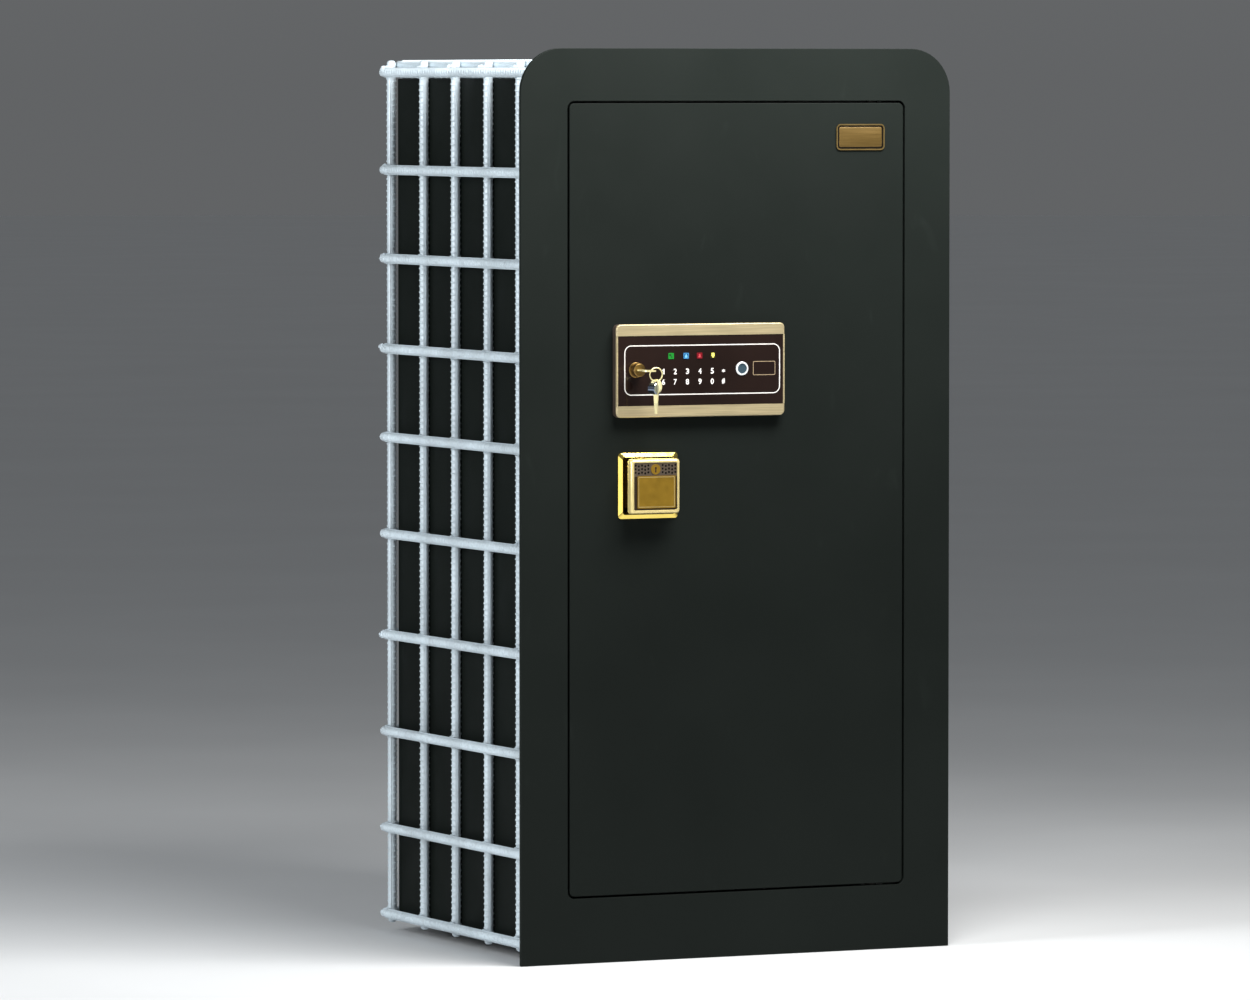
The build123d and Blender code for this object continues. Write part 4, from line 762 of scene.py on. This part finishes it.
class SAFE_OT_rib_cage(bpy.types.Operator):
    """Paint the cage's bars, roll slanted ribs on them and weld them at their crossings"""

    bl_idname = "safe.rib_cage"
    bl_label = "Cage of ribbed bars"

    def execute(self, context):
        sizes = context.scene.safe_cage
        paint = cage_paint("bar paint", context.scene.safe_paint.bars)
        bars = {node: bar_lines(node) for node in nodes_in("bar_paint")}
        dress(paint, *bars)
        for node, lines in bars.items():
            stock = Stock()
            for start, end, ribs in lines:
                slanted_ribs(stock, start, end, ribs, sizes)
            add_piece(node + "_ribs", stock, paint, "frame")
        stock = Stock()
        pairs = (("left_uprights", "left_crossbars"), ("right_uprights", "right_crossbars"),
                 ("rear_uprights", "rear_crossbars"))
        for seed, (uprights, crossbars) in enumerate(pairs):
            crossing_welds(stock, bars[uprights], bars[crossbars], sizes.weld, seed)
        across = [bar for bar in bars["top_bars"] if abs(bar[1].x - bar[0].x) > abs(bar[1].y - bar[0].y)]
        deep = [bar for bar in bars["top_bars"] if bar not in across]
        crossing_welds(stock, across, deep, sizes.weld, 7)
        weld_knots(stock, bars["left_uprights"], bars["left_crossbars"], 9)
        weld_knots(stock, bars["right_uprights"], bars["right_crossbars"], 10)
        plate_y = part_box("front_frame")[1].y
        collar_welds(stock, bars["left_crossbars"] + bars["right_crossbars"] + deep, plate_y, 8)
        add_piece("cage_welds", stock, paint, "frame")
        return {"FINISHED"}


# Painted sheet metal


class SAFE_OT_coat_sheets(bpy.types.Operator):
    """Coat the front plate, the door, the body's sheets and the inside"""

    bl_idname = "safe.coat_sheets"
    bl_label = "Coated sheet metal"

    def execute(self, context):
        paint = context.scene.safe_paint
        matt = 0.05
        dress(powder_coat("front coat", paint.front, specular=matt), *nodes_in("front_paint"))
        dress(powder_coat("door coat", toned(paint.front, 0.97), specular=matt), *nodes_in("door_paint"))
        dress(powder_coat("body coat", paint.body, specular=matt), *nodes_in("body_paint"))
        liner = powder_coat("liner coat", paint.liner, rough=(0.5, 0.65), worn=1.15)
        dress(liner, *nodes_in("liner_paint"))
        dress(cast_fill("fire fill"), *nodes_in("fire_fill"))
        ease_edges("front_frame", 0.6 * MM)
        seal = moulded("seal strip", (0.02, 0.02, 0.02), rough=(0.7, 0.85), grain=700.0)
        dress(seal, *nodes_in("seal_rubber"))
        return {"FINISHED"}


# Bolt work and fittings inside the door


def cross_screw(bm, centre, radius, height):
    """Pan-head screw with a cross recess, its head towards the back."""
    rings = ((1.0, 0.0), (1.0, 0.35), (0.82, 0.8), (0.45, 1.0))
    arm, web, recess = 0.42, 0.16, 0.45
    segments = 16
    rows = []
    for share, rise in rings:
        loop = circle_loop(centre.x, centre.z, radius * share, segments)
        rows.append([bm.verts.new((x, centre.y + height * rise, z)) for x, z in loop])
    for low, high in zip(rows, rows[1:]):
        for i in range(segments):
            j = (i + 1) % segments
            bm.faces.new((low[j], low[i], high[i], high[j]))
    floor = centre + Vector((0, height * recess, 0))
    hub = bm.verts.new(floor)
    inner = []
    for i in range(segments):
        angle = 2 * math.pi * i / segments
        reach = radius * (arm if i % 4 == 0 else web)
        inner.append(bm.verts.new(floor + Vector((reach * math.cos(angle), 0, reach * math.sin(angle)))))
    for i in range(segments):
        j = (i + 1) % segments
        bm.faces.new((rows[-1][j], rows[-1][i], inner[i], inner[j]))
        bm.faces.new((inner[j], inner[i], hub))


class SAFE_OT_fit_bolt_work(bpy.types.Operator):
    """Plate the bolt work, hinges and fittings, and screw on the door's inner cover"""

    bl_idname = "safe.fit_bolt_work"
    bl_label = "Bolt work and fittings"

    def execute(self, context):
        zinc = zinc_spangle("zinc plate", (0.62, 0.62, 0.60))
        dress(zinc, *nodes_in("zinc"))
        steel = plated_metal("turned steel", (0.52, 0.52, 0.53), rough=(0.28, 0.42), stretch=(1, 1, 0.05))
        dress(steel, *nodes_in("steel"))
        # Hinge pins and blocks are made very dark as painted shade, as they sit in the shaded hinge gap
        painted_shade_black = plated_metal("oiled steel", (0.045, 0.043, 0.04), rough=(0.5, 0.65))
        dress(painted_shade_black, "hinge_pins", "hinge_blocks")
        dress(plated_metal("bolt chrome", (0.78, 0.78, 0.79), rough=(0.08, 0.16)), *nodes_in("bolt_chrome"))
        dress(plated_metal("bush bronze", (0.45, 0.32, 0.14), rough=(0.3, 0.45)), *nodes_in("bronze"))
        board = moulded("board green", (0.02, 0.13, 0.05), rough=(0.25, 0.4), coat=0.3)
        dress(board, *nodes_in("board_green"))
        dress(moulded("battery plastic", (0.03, 0.03, 0.032)), *nodes_in("battery_plastic"))
        low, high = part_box("door_cover")
        inset = 11.0 * MM
        middle_x = (low.x + high.x) / 2
        gaps = 4
        bm = bmesh.new()
        for x in (low.x + inset, middle_x, high.x - inset):
            for k in range(gaps + 1):
                z = low.z + inset + (high.z - low.z - 2 * inset) * k / gaps
                if x == middle_x and 0 < k < gaps:
                    continue
                cross_screw(bm, Vector((x, high.y, z)), 4.0 * MM, 2.2 * MM)
        add_piece("cover_screws", bm, zinc, "door")
        return {"FINISHED"}


# Knob


def knob_body():
    """Block of the knob: a narrow neck and a square head with a rounded rim round the insert's pocket."""
    low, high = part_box("knob_block")
    front, back = low.y, high.y
    centre = (low + high) / 2
    half = (high.x - low.x) / 2
    insert_low, insert_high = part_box("knob_insert")
    pocket = (insert_high.x - insert_low.x) / 2 + 0.15 * MM
    neck = 29.0 * MM
    deep = front + 11.0 * MM
    chamfer = 0.9 * MM
    rim_width, rim_depth = 3.3 * MM, 6.0 * MM
    profile = [(0.5 * MM, back), (neck, back), (neck, deep), (half - chamfer, deep), (half, deep - chamfer)]
    for angle in range(0, 91, 10):
        turn = math.radians(angle)
        profile.append((half - rim_width * (1 - math.cos(turn)), front + rim_depth * (1 - math.sin(turn))))
    profile += [(pocket + 0.6 * MM, front), (pocket + 0.2 * MM, front + 0.2 * MM)]
    profile += [(pocket, front + 0.8 * MM), (pocket, front + 2.4 * MM)]
    outer_corner, pocket_corner = 4.0 * MM, 2.0 * MM
    rows = []
    for reach, y in profile:
        radius = min(outer_corner if reach > pocket + MM else pocket_corner, reach * 0.9)
        loop = rounded_loop(centre.x - reach, centre.x + reach, centre.z - reach, centre.z + reach, radius)
        rows.append([Vector((x, y, z)) for x, z in loop])
    stock = Stock()
    stock.grid(rows, closed=True)
    return stock


def keyhole_loop(x, z):
    """Outline of a keyhole: an open ring of points above a flared slot."""
    radius = 1.5
    points = [(radius * math.cos(math.radians(a)), 1.6 + radius * math.sin(math.radians(a)))
              for a in range(-50, 231, 20)]
    return placed(points + [(-1.0, -4.2), (1.0, -4.2)], x, z)


class SAFE_OT_plate_knob(bpy.types.Operator):
    """Plate the square knob, paint shade on the rose's flat face and in the insert's recesses, and paint the
    keyhole's hollow on the round boss as shade
    """

    bl_idname = "safe.plate_knob"
    bl_label = "Square knob"

    def execute(self, context):
        gold = context.scene.safe_paint.gold
        # The rose's flat face is painted very dark as shade
        dress(rose_gold("rose gold", gold, (0.035, 0.022, 0.008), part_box("knob_rose")[0].y), "knob_rose")
        # The block takes a paler, half-metallic copy of the knob's gold: a painted highlight for the cream
        # sheen on the head's sides
        highlight_gold = (0.95, 0.77, 0.34)
        block_gold = plated_metal("block gold", highlight_gold, rough=(0.16, 0.28), tarnish=0.88, metallic=0.5)
        dress(block_gold, "knob_block")
        body = add_piece("knob_body", knob_body(), block_gold, "knob")
        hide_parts("knob_block")
        low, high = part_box("knob_insert")
        # Gold raised faces, with the ground and the pockets below them darkened as painted shade
        tones = ((0.40, 0.235, 0.025), (0.06, 0.04, 0.022), (0.004, 0.003, 0.002))
        levels = (low.y + 0.35 * MM, low.y + 1.05 * MM)
        strip = (high.z - 18.0 * MM, (0.17, 0.13, 0.095))
        dress(recessed_gold("insert bronze", tones, levels, strip), "knob_insert")

        border = bmesh.new()
        plate = (low.x + 6.0 * MM, high.x - 3.7 * MM, low.z + 3.7 * MM, high.z - 18.5 * MM)
        edges = framing_loops(plate, 0.7 * MM, (1.0 * MM, 0.6 * MM), steps=4)
        raised_band(border, *edges, low.y, low.y - 0.12 * MM)
        pale = brushed_band("insert border", (0.62, 0.47, 0.20))
        add_piece("insert_border", border, pale, "knob", smooth=False)

        # The keyhole's hollow is a flat, very dark patch: painted shade
        bm = bmesh.new()
        boss_z = high.z - 8.55 * MM
        raised_patch(bm, keyhole_loop((low.x + high.x) / 2, boss_z), low.y, low.y - 0.05 * MM)
        dark = ink("keyhole ink", (0.03, 0.012, 0.004))
        add_piece("knob_keyhole_mark", bm, dark, "knob", smooth=False)
        return {"FINISHED"}


# Keypad

# Boxes of the outline and the label, x to x and z to z, and the digits' columns and rows, in millimetres
OUTLINE = (-170.0, 55.6, 746.0, 810.5)
LABEL = (16.6, 49.3, 769.6, 788.1)
DIGIT_COLUMNS = (-114.0, -96.9, -79.2, -60.9, -43.0, -26.6)
DIGIT_ROWS = (("12345*", 776.2), ("67890#", 762.5))

# Width of a digit, and the star's height too, in shares of a digit's height
SIGN_WIDTH = 0.62

# Share of the row where each lens starts, and its colour
LENSES = (
    (0.0, (0.012, 0.22, 0.025)),
    (0.25, (0.008, 0.06, 0.17)),
    (0.52, (0.15, 0.005, 0.010)),
    (0.78, (0.02, 0.018, 0.005)),
)

# How much bolder the strokes of a character get, in shares of its size in the font
STROKE_GAIN = 0.024

# Outline of the digit one in shares of its height: a stem with a slanted flag
DIGIT_ONE = ((-0.03, -0.5), (0.2, -0.5), (0.2, 0.5), (0.02, 0.5), (-0.22, 0.3), (-0.22, 0.08), (-0.03, 0.2))


class SAFE_OT_print_keypad(bpy.types.Operator):
    """Finish the keypad and its indicator lenses, and print its outline, its digits and the label's outline
    """

    bl_idname = "safe.print_keypad"
    bl_label = "Keypad"

    def execute(self, context):
        paint = context.scene.safe_paint
        sizes = context.scene.safe_keypad
        dress(moulded("panel plastic", (0.045, 0.032, 0.024)), "keypad_base")
        dress(brushed_band("band gold", paint.band), "keypad_trims")
        dress(smoked_window("smoked window", paint.window), "keypad_window")
        dress(painted_glow_lenses("indicator lenses", LENSES), "indicator_lenses")
        silver = plated_metal("sensor silver", (0.92, 0.94, 0.95), rough=(0.2, 0.3), metallic=0.3)
        dress(silver, "sensor_ring")
        dress(sensor_glass("sensor glass"), "sensor_lens")

        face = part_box("keypad_window")[0].y
        front = face - sizes.ink
        bm = bmesh.new()
        half = sizes.line / 2
        x0, x1, z0, z1 = [value * MM for value in OUTLINE]
        grown = (x0 - half, x1 + half, z0 - half, z1 + half)
        edges = framing_loops(grown, sizes.line, (10.0 * MM, 8.3 * MM))
        raised_band(bm, *edges, face, front)
        white = ink("outline ink", toned(paint.print, 0.85), painted_glow=0.05)
        add_piece("keypad_outline", bm, white, "door", smooth=False)

        bm = bmesh.new()
        wide = sizes.digit * SIGN_WIDTH
        for row, z in DIGIT_ROWS:
            for sign, x in zip(row, DIGIT_COLUMNS):
                tall = wide if sign == "*" else sizes.digit
                if sign == "1":
                    raised_patch(bm, placed(DIGIT_ONE, x * MM, z * MM, tall), face, front)
                else:
                    printed_character(bm, sign, x * MM, z * MM, tall, wide, front, sizes.ink)
        white = ink("digit ink", paint.print, painted_glow=0.12)
        add_piece("keypad_digits", bm, white, "door", smooth=False)

        bm = bmesh.new()
        edges = framing_loops([value * MM for value in LABEL], 0.9 * MM, (1.6 * MM, 0.9 * MM), steps=4)
        raised_band(bm, *edges, face, front)
        tan = ink("label ink", (0.30, 0.23, 0.14))
        add_piece("label_outline", bm, tan, "door", smooth=False)
        return {"FINISHED"}


# Outlines of the signs on the lenses, in millimetres from their middles
KEY_TILT = -42
KEY_SHAFT = ((0.8, -0.45), (4.6, -0.45), (4.6, 0.45), (0.8, 0.45))
KEY_BIT = ((3.2, -1.6), (4.1, -1.6), (4.1, -0.4), (3.2, -0.4))
PADLOCK_CASE = ((-1.7, -2.4), (1.7, -2.4), (1.7, 0.2), (-1.7, 0.2))
PADLOCK_BOW = ((-1.1, 0.2), (-1.1, 1.4), (-0.5, 2.1), (0.5, 2.1), (1.1, 1.4), (1.1, 0.2))
BELL = ((-2.5, -2.3), (2.5, -2.3), (1.5, -1.1), (1.1, 1.6), (0, 2.6), (-1.1, 1.6), (-1.5, -1.1))
POINTER = ((-1.9, 3.4), (1.9, 3.4), (2.1, -0.6), (0, -3.3), (-2.1, -0.6))


class SAFE_OT_mark_lenses(bpy.types.Operator):
    """Print the small signs on the four indicator lenses"""

    bl_idname = "safe.mark_lenses"
    bl_label = "Indicator signs"

    def execute(self, context):
        low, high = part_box("indicator_lenses")
        back = low.y
        front = low.y - 0.04 * MM
        middle_z = (low.z + high.z) / 2
        key_x, lock_x, bell_x, battery_x = low.x + 4.0 * MM, -81.3 * MM, -61.7 * MM, high.x - 4.0 * MM

        def sign(name, shapes, tone, painted_glow):
            """One sign from its outlines, in its own ink."""
            bm = bmesh.new()
            for shape in shapes:
                raised_patch(bm, shape, back, front)
            tinted = ink(name.replace("_", " ") + " ink", tone, painted_glow)
            add_piece(name, bm, tinted, "door", smooth=False)

        bow_x, bow_z = key_x - 1.5 * MM, middle_z + 1.3 * MM
        bow = circle_loop(bow_x, bow_z, 1.35 * MM, 14)
        shaft = placed(KEY_SHAFT, bow_x, bow_z, turn=KEY_TILT)
        bit = placed(KEY_BIT, bow_x, bow_z, turn=KEY_TILT)
        sign("key_sign", [bow, shaft, bit], (0.002, 0.03, 0.005), 0.0)

        bm = bmesh.new()
        edge = 3.7 * MM
        frame_box = (lock_x - edge, lock_x + edge, middle_z - edge, middle_z + edge)
        edges = framing_loops(frame_box, 0.8 * MM, (1.0 * MM, 0.5 * MM), steps=3)
        raised_band(bm, *edges, back, front)
        blue = ink("lock sign frame ink", (0.05, 0.22, 0.42), 0.3)
        add_piece("lock_sign_frame", bm, blue, "door", smooth=False)
        padlock = [placed(outline, lock_x, middle_z) for outline in (PADLOCK_CASE, PADLOCK_BOW)]
        sign("lock_sign", padlock, (0.14, 0.40, 0.66), 0.3)

        sign("alarm_sign", [placed(BELL, bell_x, middle_z)], (0.42, 0.04, 0.05), 0.3)
        sign("battery_sign", [placed(POINTER, battery_x, middle_z)], (0.86, 0.80, 0.14), 0.5)
        return {"FINISHED"}


# Lock, keys and badge


class SAFE_OT_finish_lock(bpy.types.Operator):
    """Finish the key lock, its key, the ring and the spare key"""

    bl_idname = "safe.finish_lock"
    bl_label = "Key lock and keys"

    def execute(self, context):
        brass = plated_metal("lock brass", (0.42, 0.27, 0.09), rough=(0.25, 0.4), tarnish=0.6)
        dress(brass, *nodes_in("lock_brass"))
        straw = (0.95, 0.85, 0.46)
        key_gold = plated_metal("key gold", straw, rough=(0.22, 0.36), tarnish=0.85, metallic=0.5)
        dress(key_gold, "key", "key_ring", "spare_key")
        # The chrome is tinted dark blue as a painted reflection of dark surroundings; only the lamps'
        # highlights stay bright
        dress(plated_metal("cap chrome", (0.36, 0.42, 0.55), rough=(0.08, 0.14)), *nodes_in("cap_chrome"))
        return {"FINISHED"}


class SAFE_OT_finish_badge(bpy.types.Operator):
    """Finish the blank badge plate: a satin field inside a bright rim, with painted shade in the recesses
    below the rim
    """

    bl_idname = "safe.finish_badge"
    bl_label = "Badge plate"

    def execute(self, context):
        low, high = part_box("badge_plate")
        # The ground and the pockets below the rim's face take a very dark tone as painted shade
        painted_shade_black = (0.012, 0.009, 0.006)
        tones = ((0.21, 0.145, 0.052), painted_shade_black, painted_shade_black)
        dress(recessed_gold("badge bronze", tones, (low.y + 0.3 * MM, low.y + 0.5 * MM)), "badge_plate")
        inset = 4.2 * MM
        floor = low.y + 0.6 * MM
        bm = bmesh.new()
        field = (low.x + inset, high.x - inset, low.z + inset, high.z - inset)
        edges = framing_loops(field, 0.4 * MM, (2.0 * MM, 1.6 * MM))
        bevelled_patch(bm, *edges, floor, low.y + 0.2 * MM)
        bronze = brushed_band("badge field", (0.135, 0.084, 0.023))
        add_piece("badge_field", bm, bronze, "door", smooth=False)
        return {"FINISHED"}


# Stage

# Each lamp's place, the point it faces, its width, height and tone
LAMPS = {
    "top": ((0.15, -0.85, 1.9), (-0.05, -0.3, 0.65), 1.1, 0.5, (1.0, 0.99, 0.97)),
    "glint": ((0.62, -1.2, 1.9), (-0.13, -0.25, 0.63), 0.5, 0.35, (1.0, 0.99, 0.95)),
    "side": ((-3.8, -0.55, 1.7), (-0.3, 0.1, 0.65), 1.2, 2.2, (0.95, 0.98, 1.0)),
    "card": ((-3.1, -4.7, 0.75), (-0.1, -0.2, 0.65), 1.3, 1.6, (1.0, 0.98, 0.95)),
}

# Light from all round, from the horizon up to a low height and from there to the top
HORIZON = (0.58, 0.60, 0.62, 1.0)
ZENITH = (0.80, 0.83, 0.86, 1.0)

# The camera's place, and how far it is turned down and to the right
CAMERA_PLACE = (-4.75885, FACE_Y - 9.83433, 1.15849)
CAMERA_DOWN = math.radians(2.903)
CAMERA_RIGHT = math.radians(25.042)


def area_light(name, place, target, width, height, tone, watts):
    """Soft lamp facing a point."""
    light = bpy.data.lights.new(name, "AREA")
    light.shape = "RECTANGLE"
    light.size = width
    light.size_y = height
    light.energy = watts
    light.color = tone
    lamp = bpy.data.objects.new(name, light)
    lamp.location = place
    lamp.rotation_euler = (Vector(target) - Vector(place)).to_track_quat("-Z", "Y").to_euler()
    bpy.context.scene.collection.objects.link(lamp)


class SAFE_OT_set_stage(bpy.types.Operator):
    """Lay the floor, hang the lights and place the camera"""

    bl_idname = "safe.set_stage"
    bl_label = "Stage"

    def execute(self, context):
        stage = context.scene.safe_stage
        bm = bmesh.new()
        bmesh.ops.create_circle(bm, cap_ends=True, segments=96, radius=stage.floor)
        mesh = bpy.data.meshes.new("floor")
        bm.to_mesh(mesh)
        bm.free()
        mesh.materials.append(floor_finish("floor"))
        floor = bpy.data.objects.new("floor", mesh)
        floor.location = (0, 0, -0.5 * MM)
        context.scene.collection.objects.link(floor)

        for name, lamp in LAMPS.items():
            area_light(name + " light", *lamp, getattr(stage, name))

        world = bpy.data.worlds.new("studio")
        world.use_nodes = True
        nodes = world.node_tree.nodes
        links = world.node_tree.links
        backdrop = nodes["Background"]
        backdrop.inputs["Strength"].default_value = stage.sky
        split = nodes.new("ShaderNodeSeparateXYZ")
        rise = nodes.new("ShaderNodeMapRange")
        rise.inputs["From Max"].default_value = 0.12
        ramp = nodes.new("ShaderNodeMix")
        ramp.data_type = "RGBA"
        ramp.inputs[6].default_value = HORIZON
        ramp.inputs[7].default_value = ZENITH
        links.new(nodes.new("ShaderNodeTexCoord").outputs["Generated"], split.inputs["Vector"])
        links.new(split.outputs["Z"], rise.inputs["Value"])
        links.new(rise.outputs["Result"], ramp.inputs[0])
        links.new(ramp.outputs[2], backdrop.inputs["Color"])
        context.scene.world = world

        lens = bpy.data.cameras.new("camera")
        lens.lens = stage.lens
        lens.sensor_width = 36.0
        lens.clip_end = 200.0
        camera = bpy.data.objects.new("camera", lens)
        camera.location = CAMERA_PLACE
        camera.rotation_euler = (math.pi / 2 - CAMERA_DOWN, 0.0, -CAMERA_RIGHT)
        context.scene.collection.objects.link(camera)
        context.scene.camera = camera
        context.scene.view_settings.view_transform = "Standard"
        return {"FINISHED"}


class SAFE_PT_sidebar(bpy.types.Panel):
    """Sizes, colours and steps of the safe."""

    bl_label = "Safe"
    bl_idname = "SAFE_PT_sidebar"
    bl_space_type = "VIEW_3D"
    bl_region_type = "UI"
    bl_category = "Safe"

    def draw(self, context):
        for group in [getattr(context.scene, name) for name in GROUPS]:
            box = self.layout.box()
            for name in group.bl_rna.properties.keys():
                if name not in ("rna_type", "name"):
                    box.prop(group, name)
        for step in STEPS:
            self.layout.operator(step.bl_idname)


STEPS = (
    SAFE_OT_coat_sheets,
    SAFE_OT_rib_cage,
    SAFE_OT_fit_bolt_work,
    SAFE_OT_plate_knob,
    SAFE_OT_print_keypad,
    SAFE_OT_mark_lenses,
    SAFE_OT_finish_lock,
    SAFE_OT_finish_badge,
    SAFE_OT_set_stage,
)
GROUPS = {"safe_paint": SAFE_PG_paint, "safe_cage": SAFE_PG_cage, "safe_keypad": SAFE_PG_keypad,
          "safe_stage": SAFE_PG_stage}


def register():
    """Register the classes and give every scene the four groups of values."""
    for made in (*GROUPS.values(), *STEPS, SAFE_PT_sidebar):
        bpy.utils.register_class(made)
    for name, group in GROUPS.items():
        setattr(bpy.types.Scene, name, PointerProperty(type=group))


def unregister():
    """Take all of it back."""
    for name in GROUPS:
        delattr(bpy.types.Scene, name)
    for made in (SAFE_PT_sidebar, *reversed(STEPS), *reversed(GROUPS.values())):
        bpy.utils.unregister_class(made)


def main():
    """Dress the safe step by step."""
    register()
    bpy.ops.safe.coat_sheets()
    bpy.ops.safe.rib_cage()
    bpy.ops.safe.fit_bolt_work()
    bpy.ops.safe.plate_knob()
    bpy.ops.safe.print_keypad()
    bpy.ops.safe.mark_lenses()
    bpy.ops.safe.finish_lock()
    bpy.ops.safe.finish_badge()
    bpy.ops.safe.set_stage()


if __name__ == "__main__":
    main()
